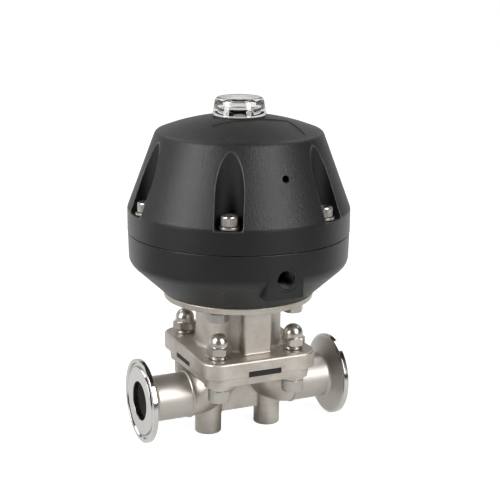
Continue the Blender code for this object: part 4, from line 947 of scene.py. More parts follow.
# %% Ferrule profile
FERRULE_RADIUS = (ferrule_high.z - ferrule_low.z) / 2
FERRULE_LENGTH = ferrule_high.x - WELD
RIM_THICK = 0.00285
GROOVE_RADIUS = 0.0216
GROOVE_HALF = 0.0014
GROOVE_DEPTH = 0.0016
WELD_PROUD = 0.00055
WELD_HALF = 0.0012
WELD_SUNK = 0.0002
BACK_SLOPE = math.radians(20)
BACK_FILLET = 0.0022
FACE_EDGE = 0.0003


def ferrule_profile():
    face = FERRULE_LENGTH
    back = (FERRULE_RADIUS - TUBE_RADIUS) * math.tan(BACK_SLOPE)
    return rounded(
        (BORE, face, FACE_EDGE),
        (GROOVE_RADIUS - GROOVE_HALF, face, FACE_EDGE),
        (GROOVE_RADIUS - GROOVE_HALF / 2, face - GROOVE_DEPTH, 0.0005),
        (GROOVE_RADIUS + GROOVE_HALF / 2, face - GROOVE_DEPTH, 0.0005),
        (GROOVE_RADIUS + GROOVE_HALF, face, FACE_EDGE),
        (FERRULE_RADIUS, face, 0.0004),
        (FERRULE_RADIUS, face - RIM_THICK, 0.0006),
        (TUBE_RADIUS, face - RIM_THICK - back, BACK_FILLET),
        (TUBE_RADIUS, WELD_HALF, 0),
        (TUBE_RADIUS + WELD_PROUD, WELD_HALF / 2, 0),
        (TUBE_RADIUS + WELD_PROUD, -WELD_HALF / 2, 0),
        (TUBE_RADIUS - WELD_SUNK, -WELD_HALF, 0),
        (TUBE_RADIUS - WELD_SUNK, 0, 0),
        (BORE, 0, 0),
    )


# %% Build both ferrules
def ferrule(name, side):
    bm = turned(spun(ferrule_profile(), LARGE_TURN), side * math.pi / 2, "Y")
    moved(bm, side * WELD, 0, PIPE_HEIGHT)
    return piece(bm, f"{name}_turned", "housing", [name], math.radians(30))


ferrules = [ferrule("inlet_ferrule", -1), ferrule("outlet_ferrule", 1)]

# %% [markdown]
# ## Screws, nuts and washers
# Fasteners repeat, so each kind is modelled once at the origin and then copied to its places. Copies get
# their place in the mesh, not in the object, because a finish that follows the surface has to stay with
# the piece. The heads of the socket screws are knurled, the washers under the domed nuts are split and
# slightly sprung.

# %% Copy one shell to many places
def copies(bm, name, places, spins=None):
    """Stands one shell at several places, each at the height of its node in the frame."""
    made = []
    for index, (x, y) in enumerate(places):
        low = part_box(f"{name}_{index + 1}")[0]
        copy = bm.copy()
        if spins:
            turned(copy, math.radians(spins[index]), "Z")
        start = min(vert.co.z for vert in copy.verts)
        moved(copy, x, y, low.z - start)
        node = f"{name}_{index + 1}"
        made.append(piece(copy, f"{node}_turned", "housing", [node]))
    bm.free()
    return made


# %% Socket screw
KNURLS = 40
KNURL_STEPS = 3  # points of the head's circle for each knurl
KNURL_DEPTH = 0.00014


def socket_screw(radius, head_radius, head_height, socket, length):
    """A screw with its head's seat at height 0 and the head above it."""
    lip = head_height * 0.14
    profile = rounded(
        (0, head_height, 0),
        (head_radius - 0.0004, head_height, 0.0003),
        (head_radius, head_height - lip, 0.0002),
        (head_radius, 0, 0.0002),
        (radius, 0, 0),
        (radius, -length, 0.0004),
        (0, -length, 0),
    )
    bm = spun(profile, KNURLS * KNURL_STEPS, closed=False)
    bm = with_cut(bm, hexagon(socket, head_height * 0.45, head_height * 1.2))
    long = [e for e in bm.edges if e.calc_length() > head_height * 0.5]
    rise = [e for e in long if abs(math.hypot(*e.verts[0].co.xy) - head_radius) < SAME_POINT]
    grooves = {v for e in rise for v in e.verts if 0 <= v.co.z <= head_height}
    for vert in grooves:
        turn = round(math.atan2(vert.co.y, vert.co.x) / math.tau * KNURLS * KNURL_STEPS)
        if turn % KNURL_STEPS == 0:
            vert.co.xy *= 1 - KNURL_DEPTH / head_radius
    return bm


# %% Cover screws and their washers
def washer(bore, radius, thick, edge=0.00025):
    profile = rounded((bore, thick, edge), (radius, thick, edge), (radius, 0, edge), (bore, 0, edge))
    return spun(profile, MIDDLE_TURN)


cover_screws = copies(
    socket_screw(0.003, 0.005, 0.0056, 0.005, 0.030),
    "cover_screw",
    SCREW_PLACES,
    spins=[12, 35, 50, 4, 22, 41],
)
cover_washers = copies(washer(SCREW_HOLE, 0.0061, 0.0015), "cover_washer", SCREW_PLACES)

# %% Body screws and their washers
body_screw_low, body_screw_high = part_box("body_screw_1")
BODY_HEAD_HEIGHT = 0.0074
body_screw_length = body_screw_high.z - body_screw_low.z - BODY_HEAD_HEIGHT
screw = socket_screw(0.004, 0.0065, BODY_HEAD_HEIGHT, 0.006, body_screw_length)
body_screws = copies(
    turned(screw, math.pi, "X"), "body_screw", BOLT_PLACES, spins=[8, 31, 47, 19]
)
body_washers = copies(
    washer(BOLT_HOLE, BODY_WASHER_RADIUS, 0.0014), "body_screw_washer", BOLT_PLACES
)

# %% [markdown]
# A spring washer is a square wire bent into one turn that doesn't quite close, so it is spun a little
# short of a full turn with a small rise. The domed nut is a hexagon whose ends are turned to a cone, with
# a ball on top.

# %% Split washers
SPLIT_WASHER_RADIUS = 0.0061
SPLIT_WASHER_SPAN = math.radians(348)
SPLIT_WASHER_RISE = 0.0002
SPLIT_WASHER_EDGE = 0.00018


def split_washer():
    bm = bmesh.new()
    low, high = 0.0001, 0.0017
    inner, outer = BOLT_HOLE, SPLIT_WASHER_RADIUS
    corners = [(inner, low), (outer, low), (outer, high), (inner, high)]
    verts = [bm.verts.new((r, 0, z)) for r, z in corners]
    face = bm.faces.new(verts)
    swept(bm, [face] + face.edges[:] + verts, SPLIT_WASHER_SPAN, SPLIT_WASHER_RISE, 64)
    bmesh.ops.recalc_face_normals(bm, faces=bm.faces)
    return soften(bm, SPLIT_WASHER_EDGE, everywhere, 2, 60)


split_washers = copies(
    split_washer(), "cap_nut_washer", BOLT_PLACES, spins=[-70, -62, 130, 60]
)


# %% Domed nuts
def cap_nut():
    flats, hex_height, height, dome = 0.013, 0.005, 0.0127, 0.0059
    corner = to_corner(flats)
    nut = soften(hexagon(flats, 0, hex_height), 0.00025, everywhere, 2)
    crown = [(0, hex_height), (flats / 2 * 0.96, hex_height), (corner, hex_height - 0.0010)]
    crown += [(corner, 0.0006), (flats / 2 * 0.98, 0), (0, 0)]
    nut = combined(nut, [spun(crown, MIDDLE_TURN, closed=False)], "INTERSECT")
    ball = arc(dome, height - dome, 0, 90, 12) + [(dome, hex_height / 2), (0, hex_height / 2)]
    nut = with_added(nut, spun(ball, MIDDLE_TURN, closed=False))
    soften(nut, 0.0004, lambda middle, convex: not convex and middle.z > hex_height - 0.0005)
    return with_cut(nut, rod(BOLT_HOLE, -PAST, height - 0.0035, HOLE_TURN))


cap_nuts = copies(cap_nut(), "cap_nut", BOLT_PLACES, spins=[8, 22, 40, 15])


# %% Hexagon bolts under the top flange
def flange_bolt():
    flats, head, length = 0.0114, 0.0053, 0.01415
    corner = to_corner(flats)
    bolt = soften(hexagon(flats, -head, 0), 0.0002, everywhere, 2)
    crown = [(0, 0), (corner, 0), (corner, -head + 0.0007), (flats / 2 * 0.95, -head), (0, -head)]
    bolt = combined(bolt, [spun(crown, MIDDLE_TURN, closed=False)], "INTERSECT")
    return with_added(bolt, rod(0.003, -head / 2, length, 32))


flange_bolts = copies(
    flange_bolt(), "flange_bolt", FLANGE_BOLT_PLACES, spins=[10, 24, 3, 17]
)
flange_washers = copies(
    washer(FLANGE_BOLT_HOLE, 0.006, 0.0012), "flange_bolt_washer", FLANGE_BOLT_PLACES
)

# %% [markdown]
# ## Clear cap
# The cap is moulded in clear plastic, and it looks alive only if it has a real wall: light bends at the
# outer face and again at the inner one. So the profile runs up the outside and back down the inside.

# %% Build the clear cap
CAP_TOP = cap_high.z
CAP_TOP_RADIUS = 0.0140
CAP_TOP_EDGE = 0.0026
CAP_FOOT_RADIUS = 0.0158
CAP_SPIGOT_RADIUS = 0.0099
CAP_SPIGOT_BORE = 0.0086
CAP_SPIGOT_EDGE = 0.0003
CAP_BORE = 0.0066
CAP_STEP = CAP_FLANGE + 0.0042
CAP_CEILING = CAP_TOP - 0.0019
CAP_DRAFT = 0.0002


def clear_cap():
    profile = rounded(
        (0, CAP_TOP, 0),
        (CAP_TOP_RADIUS, CAP_TOP, CAP_TOP_EDGE),
        (CAP_FOOT_RADIUS, CAP_FLANGE, 0.0004),
        (CAP_SPIGOT_RADIUS, CAP_FLANGE, 0),
        (CAP_SPIGOT_RADIUS, cap_low.z, CAP_SPIGOT_EDGE),
        (CAP_SPIGOT_BORE, cap_low.z, CAP_SPIGOT_EDGE),
        (CAP_SPIGOT_BORE, CAP_STEP, 0.0006),
        (CAP_BORE, CAP_STEP, 0.0005),
        (CAP_BORE - CAP_DRAFT, CAP_CEILING, 0.0010),
        (0, CAP_CEILING, 0),
    )
    return spun(profile, LARGE_TURN, closed=False)


cap = piece(clear_cap(), "clear_cap", "housing", ["indicator_cap"], math.radians(50))

# %% [markdown]
# ## Rubber that moves
# The valve diaphragm is clamped at its rim and pressed down in the middle by the compressor, so the rim
# stays and the middle follows the spindle. They are two pieces here: a rim with a tab in each window of
# the bonnet, and a web.

# %% Rim and web of the valve diaphragm
DIAPHRAGM_LOW = BONNET_UNDER
DIAPHRAGM_THICK = 0.0033
DIAPHRAGM_HIGH = DIAPHRAGM_LOW + DIAPHRAGM_THICK
DIAPHRAGM_RADIUS = 0.030
RIM_INSIDE = BOWL_RADIUS + 0.0002
TAB_START = 0.026
TAB_SHY = 0.0009  # how far a tab stays behind the flange's side


def diaphragm_rim():
    profile = [
        (RIM_INSIDE, DIAPHRAGM_HIGH),
        (DIAPHRAGM_RADIUS, DIAPHRAGM_HIGH),
        (DIAPHRAGM_RADIUS, DIAPHRAGM_LOW),
        (RIM_INSIDE, DIAPHRAGM_LOW),
    ]
    bm = spun(profile, MIDDLE_TURN)
    half = SLOT_HALF - SEAT
    tabs = []
    for side in (-1, 1):
        ends = sorted((side * TAB_START, side * (BONNET_HALF_X - TAB_SHY)))
        tabs.append(slab((ends[0], -half, DIAPHRAGM_LOW), (ends[1], half, DIAPHRAGM_HIGH)))
        ends = sorted((side * TAB_START, side * (BONNET_HALF_Y - TAB_SHY)))
        tabs.append(slab((-half, ends[0], DIAPHRAGM_LOW), (half, ends[1], DIAPHRAGM_HIGH)))
    bm = with_added(bm, *tabs)
    return soften(bm, 0.0003, lambda middle, convex: convex, 2, 60)


def diaphragm_web():
    """A dish of even thickness between the weir and the compressor."""
    low = WEIR_TOP + SEAT
    angle = math.degrees(math.asin((BOWL_RADIUS - SEAT) / DISH_RADIUS))
    under = bowl_line(DISH_RADIUS, low, angle, 0, 10)
    inner = DISH_RADIUS - DIAPHRAGM_THICK
    reach = math.degrees(math.acos((low + DISH_RADIUS - DIAPHRAGM_HIGH) / inner))
    over = bowl_line(inner, low + DIAPHRAGM_THICK, 0, reach, 10)
    edge = [(BOWL_RADIUS, DIAPHRAGM_HIGH), (BOWL_RADIUS, DIAPHRAGM_LOW)]
    return spun(over + edge + under[1:], MIDDLE_TURN, closed=False)


rim = piece(diaphragm_rim(), "diaphragm_rim", "housing", ["valve_diaphragm"])
web = piece(diaphragm_web(), "diaphragm_web", "housing")
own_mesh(web)

# %% Control diaphragm
rim_low, rim_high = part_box("control_diaphragm")
MEMBRANE_THICK = 0.0024
MEMBRANE_OUTSIDE = 0.0475
MEMBRANE_HOLE = 0.0053
MEMBRANE_RIM = rim_high.z - 0.003  # underside of the rim that is clamped


def control_membrane():
    inside = MEMBRANE_OUTSIDE - MEMBRANE_THICK
    profile = rounded(
        (MEMBRANE_HOLE, rim_low.z + MEMBRANE_THICK, 0),
        (inside, rim_low.z + MEMBRANE_THICK, 0.001),
        (inside, rim_high.z, 0.0015),
        (rim_high.x, rim_high.z, 0.0004),
        (rim_high.x, MEMBRANE_RIM, 0.0004),
        (MEMBRANE_OUTSIDE, MEMBRANE_RIM, 0.0003),
        (MEMBRANE_OUTSIDE, rim_low.z, MEMBRANE_THICK),
        (MEMBRANE_HOLE, rim_low.z, 0),
    )
    return spun(profile, MIDDLE_TURN)


membrane = piece(control_membrane(), "control_membrane", "housing", ["control_diaphragm"])
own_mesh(membrane)

# %% Springs
DEAD_TURNS = 0.75  # flat turns at each end
SPRING_STEPS = 40  # points of one turn


def spring(node, radius, wire, turns):
    """Round wire swept along a helix whose end turns lie flat."""
    low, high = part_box(node)
    bottom = low.z + wire
    climb = high.z - wire - bottom
    bm = bmesh.new()
    made = bmesh.ops.create_circle(bm, cap_ends=True, segments=12, radius=wire)["verts"]
    bmesh.ops.rotate(bm, cent=(0, 0, 0), matrix=Matrix.Rotation(math.pi / 2, 3, "X"), verts=made)
    bmesh.ops.translate(bm, vec=(radius, 0, bottom), verts=made)
    section = [made[0].link_faces[0]]
    for share, rise in ((DEAD_TURNS, 0), (turns, climb), (DEAD_TURNS, 0)):
        geom = section + [e for f in section for e in f.edges] + [v for f in section for v in f.verts]
        last = swept(bm, geom, math.tau * share, rise, round(share * SPRING_STEPS))
        section = [item for item in last if isinstance(item, bmesh.types.BMFace)]
    bmesh.ops.recalc_face_normals(bm, faces=bm.faces)
    obj = piece(bm, f"{node}_wire", "housing", [node])
    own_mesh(obj)
    return obj


springs = [spring("spring_outer", 0.033, 0.0025, 4.5), spring("spring_inner", 0.020, 0.0019, 5.5)]

# %% [markdown]
# ## Materials
# Every finish is worked out from nodes. Writing node graphs by hand is long, so a small class lets shader
# maths look like normal arithmetic: a socket can be added, multiplied or subtracted, and each operation
# makes its node.

# %% Arithmetic on sockets
class Value:
    """An output socket that can be used in an expression."""

    def __init__(self, nodes, socket):
        self.nodes = nodes
        self.socket = socket

    def sum(self, operation, other, swapped=False):
        pair = (other, self) if swapped else (self, other)
        return self.nodes.maths(operation, *pair)

    def __add__(self, other):
        return self.sum("ADD", other)

    def __radd__(self, other):
        return self.sum("ADD", other, True)

    def __sub__(self, other):
        return self.sum("SUBTRACT", other)

    def __rsub__(self, other):
        return self.sum("SUBTRACT", other, True)

    def __mul__(self, other):
        return self.sum("MULTIPLY", other)

    def __rmul__(self, other):
        return self.sum("MULTIPLY", other, True)


# %% Nodes by name
class Nodes:
    """A node tree of a material or the world, with a short word for each kind of node in use."""

    def __init__(self, tree):
        self.tree = tree

    def node(self, kind, settings=None, inputs=None, output=0):
        node = self.tree.nodes.new(kind)
        for label, value in (settings or {}).items():
            setattr(node, label, value)
        for label, value in (inputs or {}).items():
            self.fill(node.inputs[label], value)
        return Value(self, node.outputs[output])

    def fill(self, socket, value):
        if isinstance(value, Value):
            self.tree.links.new(value.socket, socket)
        else:
            socket.default_value = value

    def maths(self, operation, first, second=0):
        return self.node("ShaderNodeMath", {"operation": operation}, {0: first, 1: second})

    def place(self, scale=(1, 1, 1)):
        """Object coordinates, stretched for a pattern that is longer one way."""
        return self.node("ShaderNodeMapping", {}, {"Vector": self.here(), "Scale": scale})

    def noise(self, scale, detail=3.0, rough=0.5, stretch=(1, 1, 1)):
        inputs = {"Vector": self.place(stretch), "Scale": scale, "Detail": detail, "Roughness": rough}
        return self.node("ShaderNodeTexNoise", {"noise_dimensions": "3D"}, inputs)

    def between(self, value, low, high):
        """0 below the low value, 1 above the high one, and smooth between them."""
        inputs = {"Value": value, "From Min": low, "From Max": high}
        return self.node("ShaderNodeMapRange", {"interpolation_type": "SMOOTHSTEP"}, inputs)

    def mix(self, share, one, two):
        settings = {"data_type": "RGBA"}
        return self.node("ShaderNodeMix", settings, {0: share, 6: one, 7: two}, output=2)

    def axis(self, label):
        return self.node("ShaderNodeSeparateXYZ", {}, {0: self.here()}, output=label)

    def vector(self, operation, one, two=(0, 0, 0)):
        """The number that a vector operation gives."""
        return self.node("ShaderNodeVectorMath", {"operation": operation}, {0: one, 1: two}, "Value")

    def here(self):
        return self.node("ShaderNodeTexCoord", output="Object")

    def ray(self, kind):
        """1 for rays of the named kind, otherwise 0."""
        return self.node("ShaderNodeLightPath", output=f"Is {kind} Ray")

    def bump(self, height, distance, strength=1.0, under=None):
        inputs = {"Height": height, "Distance": distance, "Strength": strength}
        if under is not None:
            inputs["Normal"] = under
        return self.node("ShaderNodeBump", {}, inputs)


# %% A finish
class Finish(Nodes):
    """A material with one Principled shader whose inputs are numbers or expressions."""

    def __init__(self, name, **constants):
        self.material = bpy.data.materials.new(name)
        self.material.use_nodes = True
        super().__init__(self.material.node_tree)
        self.shader = self.tree.nodes["Principled BSDF"]
        for label, value in constants.items():
            self.shader.inputs[label.replace("_", " ")].default_value = value

    def feed(self, label, value):
        self.fill(self.shader.inputs[label], value)


# %% [markdown]
# ## Black nylon
# Glass-filled nylon takes the fine spark-eroded grain of its mould. The cone is the roughest and catches
# broad soft light, the bands round the seam are smoother and look darker. A single roughness would lose
# that, so a mask on the height tells band from cone. Two more sets of masks work on the cover: the mouths
# of the pockets are smoother and get a painted highlight, their insides are rougher and get painted shade,
# and the edge of the shallow field shows as a thin line of painted highlight on two sides and painted
# shade on two.

# %% Masks round the pockets
LIP_HALF = 0.0004
LIP_AT_ARCH = 0.35
FIELD_LINE = 0.0003


def pocket_masks(finish):
    """1 on a pocket's lip, which is smoother and has a painted highlight, and 1 inside, which has painted
    shade.
    """
    x, y, z = [finish.axis(label) for label in "XYZ"]
    first = math.atan2(SCREW_PLACES[0][1], SCREW_PLACES[0][0])
    sector = math.tau / len(SCREW_PLACES)
    angle = finish.maths("ARCTAN2", y, x) - (first - sector / 2)
    folded = finish.maths("FLOORED_MODULO", angle, sector) - sector / 2
    radius = finish.maths("SQRT", x * x + y * y)
    inwards = finish.maths("MINIMUM", radius * finish.maths("COSINE", folded) - SCREW_CIRCLE, 0)
    across = radius * finish.maths("SINE", folded)
    wall = finish.maths("SQRT", inwards * inwards + across * across) - POCKET_RADIUS
    sideways = finish.maths("ABSOLUTE", across) * (1 / POCKET_RADIUS)
    half = (LIP_AT_ARCH + sideways * (1 - LIP_AT_ARCH)) * LIP_HALF
    slope = (BAND_RADIUS - SHOULDER_RADIUS) / (SHOULDER_HEIGHT - BAND_TOP)
    skin = finish.maths("MINIMUM", (BAND_TOP - z) * slope + BAND_RADIUS, BAND_RADIUS)
    depth = skin - radius
    inside = finish.between(depth, half, half * 1.5)
    beside = finish.between(wall, -LIP_HALF / 2, 0) * (1 - finish.between(wall, half, half * 2))
    under = 1 - finish.between(finish.maths("ABSOLUTE", z - POCKET_FLOOR), LIP_HALF, LIP_HALF * 2)
    under = under * (1 - finish.between(wall, -LIP_HALF / 2, 0))
    high = 1 - finish.between(z, SHOULDER_HEIGHT - SHOULDER_FILLET, SHOULDER_HEIGHT)
    low = finish.between(z, POCKET_FLOOR - LIP_HALF * 2, POCKET_FLOOR - LIP_HALF)
    lip = finish.maths("MAXIMUM", beside, under) * (1 - inside) * high * low
    return lip, inside * high * low


def field_masks(finish):
    """1 along two sides of the shallow field's rim, for a painted highlight, and 1 along the other two,
    for painted shade.
    """
    x, y, z = [finish.axis(label) for label in "XYZ"]
    on_dome = finish.between(z, SHOULDER_HEIGHT - SAME_POINT, SHOULDER_HEIGHT + 0.0004)

    def line(value, place, half):
        return 1 - finish.between(finish.maths("ABSOLUTE", value - place), half, half + FIELD_LINE)

    def within(value, low, high):
        above = finish.between(value, low - FIELD_LINE, low)
        return above * (1 - finish.between(value, high, high + FIELD_LINE))

    along = within(y, -FIELD_FAR, -FIELD_NEAR)
    across = within(x, -FIELD_HALF_WIDTH, FIELD_HALF_WIDTH)
    left = line(x, -FIELD_HALF_WIDTH, FIELD_LINE / 2) * along
    front = line(y, -FIELD_FAR, FIELD_LINE / 2) * across
    right = line(x, FIELD_HALF_WIDTH, FIELD_LINE) * along
    back = line(y, -FIELD_NEAR, FIELD_LINE) * across
    rim_highlight = finish.maths("MAXIMUM", left, front) * on_dome
    shaded = finish.maths("MAXIMUM", right, back) * on_dome
    return rim_highlight, shaded


def cover_masks(finish):
    # The first mask brings a painted highlight and the second painted shade.
    lip, inside = pocket_masks(finish)
    rim_highlight, shaded = field_masks(finish)
    return lip + rim_highlight * 0.9, inside + shaded


# %% Moulded black finish
def moulded_black(name, smooth_low, smooth_high, masks=None):
    finish = Finish(name, Specular_IOR_Level=0.40)
    height = finish.axis("Z")
    above = finish.between(height, smooth_high - 0.0004, smooth_high + 0.0006)
    below = 1 - finish.between(height, smooth_low - 0.001, smooth_low + 0.001)
    grainy = above + below
    grain = finish.noise(760, 3, 0.65)
    pores = finish.noise(2600, 2, 0.6)
    cloud = finish.noise(38, 4, 0.6)
    dark = finish.mix(cloud, (0.0040, 0.0040, 0.0040, 1), (0.0070, 0.0070, 0.0070, 1))
    speck = finish.between(pores, 0.60, 0.78) * grainy
    tone = finish.mix(speck, dark, (0.036, 0.036, 0.037, 1))
    rough = 0.36 + grainy * 0.08 + cloud * 0.06
    if masks:
        lip, inside = masks(finish)
        # Painted highlight on the pockets' lips and on two sides of the field's rim.
        tone = finish.mix(lip * 0.6, tone, (0.050, 0.050, 0.050, 1))
        # Painted shade inside the pockets and along the other two sides of the field's rim.
        tone = finish.mix(inside * 0.8, tone, (0.0006, 0.0006, 0.0006, 1))
        rough = rough - lip * 0.10 + inside * 0.25
    finish.feed("Base Color", tone)
    finish.feed("Roughness", rough)
    lumps = grain * (0.35 + grainy * 0.65)
    fine = finish.bump(pores, 0.00004, 0.6)
    finish.feed("Normal", finish.bump(lumps, 0.0003, 0.75, fine))
    return finish.material


# %% [markdown]
# ## Steel
# Castings are bead blasted: warm grey, dull, with a soft orange-peel surface and small pits. Turned
# pieces have fine rings that run round their axis. The rim and face of a ferrule and the domed nuts are
# polished. All of them are the same metal, so only colour, roughness and relief change.

# %% Cast steel
def cast_steel(name):
    finish = Finish(name, Metallic=1.0)
    cloud = finish.noise(55, 4, 0.6)
    peel = finish.noise(520, 3, 0.55)
    blast = finish.noise(2400, 2, 0.6)
    pits = finish.between(finish.noise(900, 2, 0.5), 0.66, 0.74)
    tone = finish.mix(finish.between(cloud, 0.3, 0.7), (0.400, 0.366, 0.322, 1), (0.520, 0.488, 0.446, 1))
    finish.feed("Base Color", finish.mix(pits * 0.5, tone, (0.20, 0.17, 0.14, 1)))
    finish.feed("Roughness", 0.40 + cloud * 0.10 + blast * 0.08)
    relief = peel * 0.8 - pits * 0.5
    fine = finish.bump(blast, 0.000025, 0.6)
    finish.feed("Normal", finish.bump(relief, 0.00007, 0.6, fine))
    return finish.material


# %% Turned and polished ferrule
def ferrule_steel(name):
    finish = Finish(name, Metallic=1.0)
    along = finish.maths("ABSOLUTE", finish.axis("X"))
    rim_back = FERRULE_LENGTH + WELD - RIM_THICK
    polished = finish.between(along, rim_back - 0.0009, rim_back)
    rise = finish.axis("Z") - PIPE_HEIGHT
    rings = finish.noise(1, 3, 0.6, (5200, 60, 60))
    cloud = finish.noise(70, 4, 0.6)
    blast = finish.noise(2600, 2, 0.6)
    tube = finish.mix(cloud, (0.395, 0.368, 0.331, 1), (0.50, 0.475, 0.443, 1))
    outwards = finish.maths("SQRT", finish.axis("Y") * finish.axis("Y") + rise * rise)
    # Painted shade: the bore of the ferrule is coloured darker than the tube.
    bore = 1 - finish.between(outwards, BORE + 0.0001, BORE + 0.0004)
    tone = finish.mix(polished, tube, (0.52, 0.51, 0.49, 1))
    finish.feed("Base Color", finish.mix(bore, tone, (0.30, 0.285, 0.27, 1)))
    finish.feed("Roughness", 0.43 + cloud * 0.08 - polished * (0.32 + cloud * 0.04))
    relief = rings * 0.6 + blast * 0.4
    finish.feed("Normal", finish.bump(relief * (1 - polished * 0.85), 0.00003, 0.55))
    return finish.material


# %% A finish whose tone and roughness wander
def clouded(name, scale, one, two, rough, swing, **constants):
    finish = Finish(name, **constants)
    cloud = finish.noise(scale, 4, 0.6)
    finish.feed("Base Color", finish.mix(cloud, (*one, 1), (*two, 1)))
    finish.feed("Roughness", rough + cloud * swing)
    return finish


# %% Polished nuts and satin screws
def bright_steel(name):
    finish = Finish(name, Metallic=1.0)
    cloud = finish.noise(240, 4, 0.6)
    marks = finish.noise(1500, 2, 0.6, (1, 1, 6))
    finish.feed("Base Color", finish.mix(cloud, (0.43, 0.40, 0.36, 1), (0.55, 0.52, 0.48, 1)))
    finish.feed("Roughness", 0.24 + cloud * 0.10 + finish.between(marks, 0.5, 0.8) * 0.08)
    finish.feed("Normal", finish.bump(marks, 0.00001, 0.4))
    return finish.material


def satin_steel(name):
    finish = clouded(name, 300, (0.36, 0.34, 0.31), (0.50, 0.48, 0.45), 0.29, 0.14, Metallic=1.0)
    rings = finish.noise(1, 3, 0.6, (160, 160, 5200))
    finish.feed("Normal", finish.bump(rings, 0.00002, 0.5))
    return finish.material


# %% Rubber, bronze and clear plastic
def black_rubber(name):
    finish = clouded(
        name, 160, (0.009, 0.009, 0.009), (0.020, 0.020, 0.020), 0.62, 0.2, Specular_IOR_Level=0.35
    )
    grain = finish.noise(2600, 2, 0.6)
    finish.feed("Normal", finish.bump(grain, 0.00003, 0.5))
    return finish.material


def bronze(name):
    return clouded(name, 200, (0.36, 0.22, 0.09), (0.50, 0.34, 0.16), 0.32, 0.15, Metallic=1.0).material


def clear_plastic(name):
    finish = Finish(name, Transmission_Weight=1.0, IOR=1.49)
    cloud = finish.noise(220, 3, 0.5)
    finish.feed("Base Color", finish.mix(cloud, (0.78, 0.77, 0.745, 1), (0.86, 0.85, 0.83, 1)))
    finish.feed("Roughness", cloud * 0.03)
    return finish.material


# %% [markdown]
# ## Give every piece its finish
# Pieces that share a finish share one material. Of the inner parts that keep their CAD shape only the
# indicator rod can be seen, through the clear cap, but the scene holds them all, so each of them
# gets a finish.

# %% Assign the finishes
def paint(objects, material):
    for obj in objects:
        obj.data.materials.clear()
        obj.data.materials.append(material)


paint([cover], moulded_black("cover_nylon", COVER_UNDER - 0.001, BAND_TOP, cover_masks))
paint([base, thread], moulded_black("base_nylon", BASE_SHOULDER - 0.001, SEAM))
paint([body, bonnet], cast_steel("blasted_casting"))
paint(ferrules, ferrule_steel("turned_ferrule"))
paint(cap_nuts + split_washers + body_washers + flange_washers, bright_steel("polished_steel"))
satin = satin_steel("satin_steel")
paint(cover_screws + cover_washers + body_screws + flange_bolts + springs, satin)
rubber = black_rubber("black_rubber")
paint([rim, web, membrane], rubber)
paint([cap], clear_plastic("clear_plastic"))

steel_inside = ["spindle", "compressor", "compressor_pin", "diaphragm_stud", "support_disc"]
steel_inside += ["thrust_plate", "spindle_nut", "indicator_rod", "seal_retainer"]
inner = {node: satin for node in steel_inside}
inner["spindle_bush"] = bronze("turned_bronze")
for node in ("bonnet_seal", "base_seal", "cap_seal"):
    inner[node] = rubber
for node, material in inner.items():
    paint([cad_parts[node]], material)
print(len(inner), "inner pieces keep their CAD shape")

# %% [markdown]
# ## Camera
# The photograph was taken from slightly above with a long lens, turned so that the port faces right of
# the camera. The pose was solved from the pipe ends and the seam, and it is written here as direction,
# distance, lens and shift.

# %% Place the camera
AZIMUTH = math.radians(-24.05)
ELEVATION = math.radians(14.868)
ROLL = math.radians(0.359)
DISTANCE = 0.75763
AIM = Vector((0, 0, 0.1055))
LENS = 90.99
SENSOR_WIDTH = 36
SHIFT = (0.0231, 0.0210)


def direction(azimuth, elevation):
    """A vector of length 1 towards a place round the valve and above it."""
    level = math.cos(elevation)
    return Vector((math.sin(azimuth) * level, -math.cos(azimuth) * level, math.sin(elevation)))


def place_camera():
    data = bpy.data.cameras.new("view")
    data.lens = LENS
    data.sensor_width = SENSOR_WIDTH
    data.shift_x, data.shift_y = SHIFT
    camera = bpy.data.objects.new("view", data)
    bpy.context.scene.collection.objects.link(camera)
    back = direction(AZIMUTH, ELEVATION)
    turn = back.to_track_quat("Z", "Y").to_matrix() @ Matrix.Rotation(ROLL, 3, "Z")
    camera.matrix_world = Matrix.Translation(AIM + back * DISTANCE) @ turn.to_4x4()
    bpy.context.scene.camera = camera
    print("camera at", camera.location)


place_camera()

# %% [markdown]
# ## Studio
# The picture is a product shot on white. A real white room would wash all contrast out of the steel, so
# the white that the camera sees is kept apart from what the steel reflects: a lit table under the valve,
# a low white backdrop behind it and darkness elsewhere. Two soft boxes in front, one at the side and two
# behind give the highlights. Clear plastic sees the same white as the camera and doesn't see the lamps.

# %% What each kind of ray meets
GROUND_GLOW = 0.86
TABLE_GLOW = 0.6
TABLE_MIDDLE = (0.10, 0, 0)
BACK_GLOW = 0.8
THROUGH_GLOW = 0.85
AWAY_FROM_CAMERA = (-math.sin(AZIMUTH), math.cos(AZIMUTH), 0)


def by_ray(nodes, white, lit):
    """One light for the camera and clear plastic, another for what the steel reflects."""
    seen = nodes.ray("Camera")
    through = nodes.ray("Transmission")
    return (seen + through * THROUGH_GLOW) * white + nodes.ray("Glossy") * (1 - through) * lit


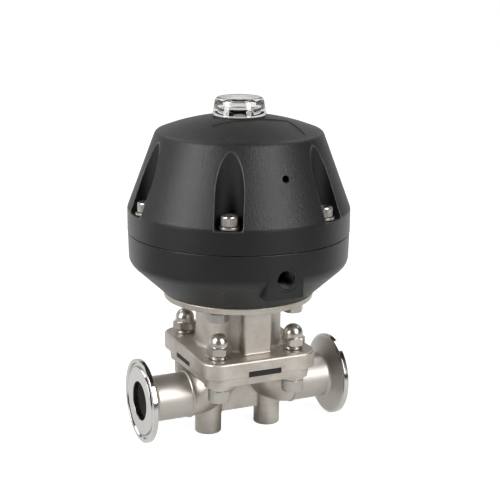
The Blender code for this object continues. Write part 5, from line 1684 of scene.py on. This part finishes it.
# %% Ground
def ground_finish():
    """White to the camera with no horizon, and a lit table to whatever the steel reflects."""
    finish = Finish("white_ground", Roughness=0.9, Specular_IOR_Level=0.1, Emission_Strength=1.0)
    finish.shader.inputs["Base Color"].default_value = (0.35, 0.35, 0.35, 1)
    here = finish.here()
    away = finish.vector("LENGTH", here)
    aside = finish.vector("DISTANCE", here, TABLE_MIDDLE)
    depth = finish.vector("DOT_PRODUCT", here, AWAY_FROM_CAMERA)
    white = GROUND_GLOW + finish.between(away, 0.15, 0.8) * (1 - GROUND_GLOW)
    behind = finish.between(depth, 0.08, 0.20)
    table = finish.between(away, 0.012, 0.035) * (1 - finish.between(aside, 0.24, 0.30)) * TABLE_GLOW
    lit = behind * BACK_GLOW + (1 - behind) * table
    finish.feed("Emission Color", by_ray(finish, white, lit))
    return finish.material


def make_ground(size):
    bm = bmesh.new()
    bmesh.ops.create_grid(bm, x_segments=1, y_segments=1, size=size / 2)
    turned(bm, math.pi, "Z")  # the order of the corners shows in the noise of the picture
    obj = as_object(bm, "ground")
    obj.data.materials.append(ground_finish())


make_ground(30)

# %% Soft boxes
def soft_box(name, turn, lift, distance, width, height, power):
    """A lamp at an angle from the camera, to the right where the angle is positive."""
    data = bpy.data.lights.new(name, "AREA")
    data.shape = "RECTANGLE"
    data.size = width
    data.size_y = height
    data.energy = power
    lamp = bpy.data.objects.new(name, data)
    bpy.context.scene.collection.objects.link(lamp)
    place = direction(AZIMUTH + math.radians(turn), math.radians(lift)) * distance
    lamp.location = AIM + place
    lamp.rotation_euler = place.to_track_quat("Z", "Y").to_euler()
    lamp.visible_transmission = False


soft_box("left_box", -58, 26, 1.1, 0.46, 0.8, 13.5)
soft_box("side_box", -110, 5, 1.1, 0.9, 0.9, 1.4)
soft_box("right_box", 42, 27, 1.1, 0.40, 0.8, 11.5)
soft_box("left_top_box", -128, 52, 1.2, 0.7, 0.7, 4.5)
soft_box("right_top_box", 128, 52, 1.2, 0.7, 0.7, 4.5)

# %% World
def make_world(fill):
    """White to the camera and to clear plastic, a low white backdrop to reflections, dim to the rest."""
    world = bpy.context.scene.world or bpy.data.worlds.new("studio")
    bpy.context.scene.world = world
    world.use_nodes = True
    sky = Nodes(world.node_tree)
    back = world.node_tree.nodes["Background"]
    depth = sky.vector("DOT_PRODUCT", sky.here(), AWAY_FROM_CAMERA)
    drop = sky.between(depth, 0.5, 0.85) * (1 - sky.between(sky.axis("Z"), 0.30, 0.60)) * BACK_GLOW
    back.inputs["Color"].default_value = (1, 1, 1, 1)
    sky.fill(back.inputs["Strength"], fill + by_ray(sky, 1 - fill, drop))


make_world(0.02)
bpy.context.scene.view_settings.view_transform = "Standard"
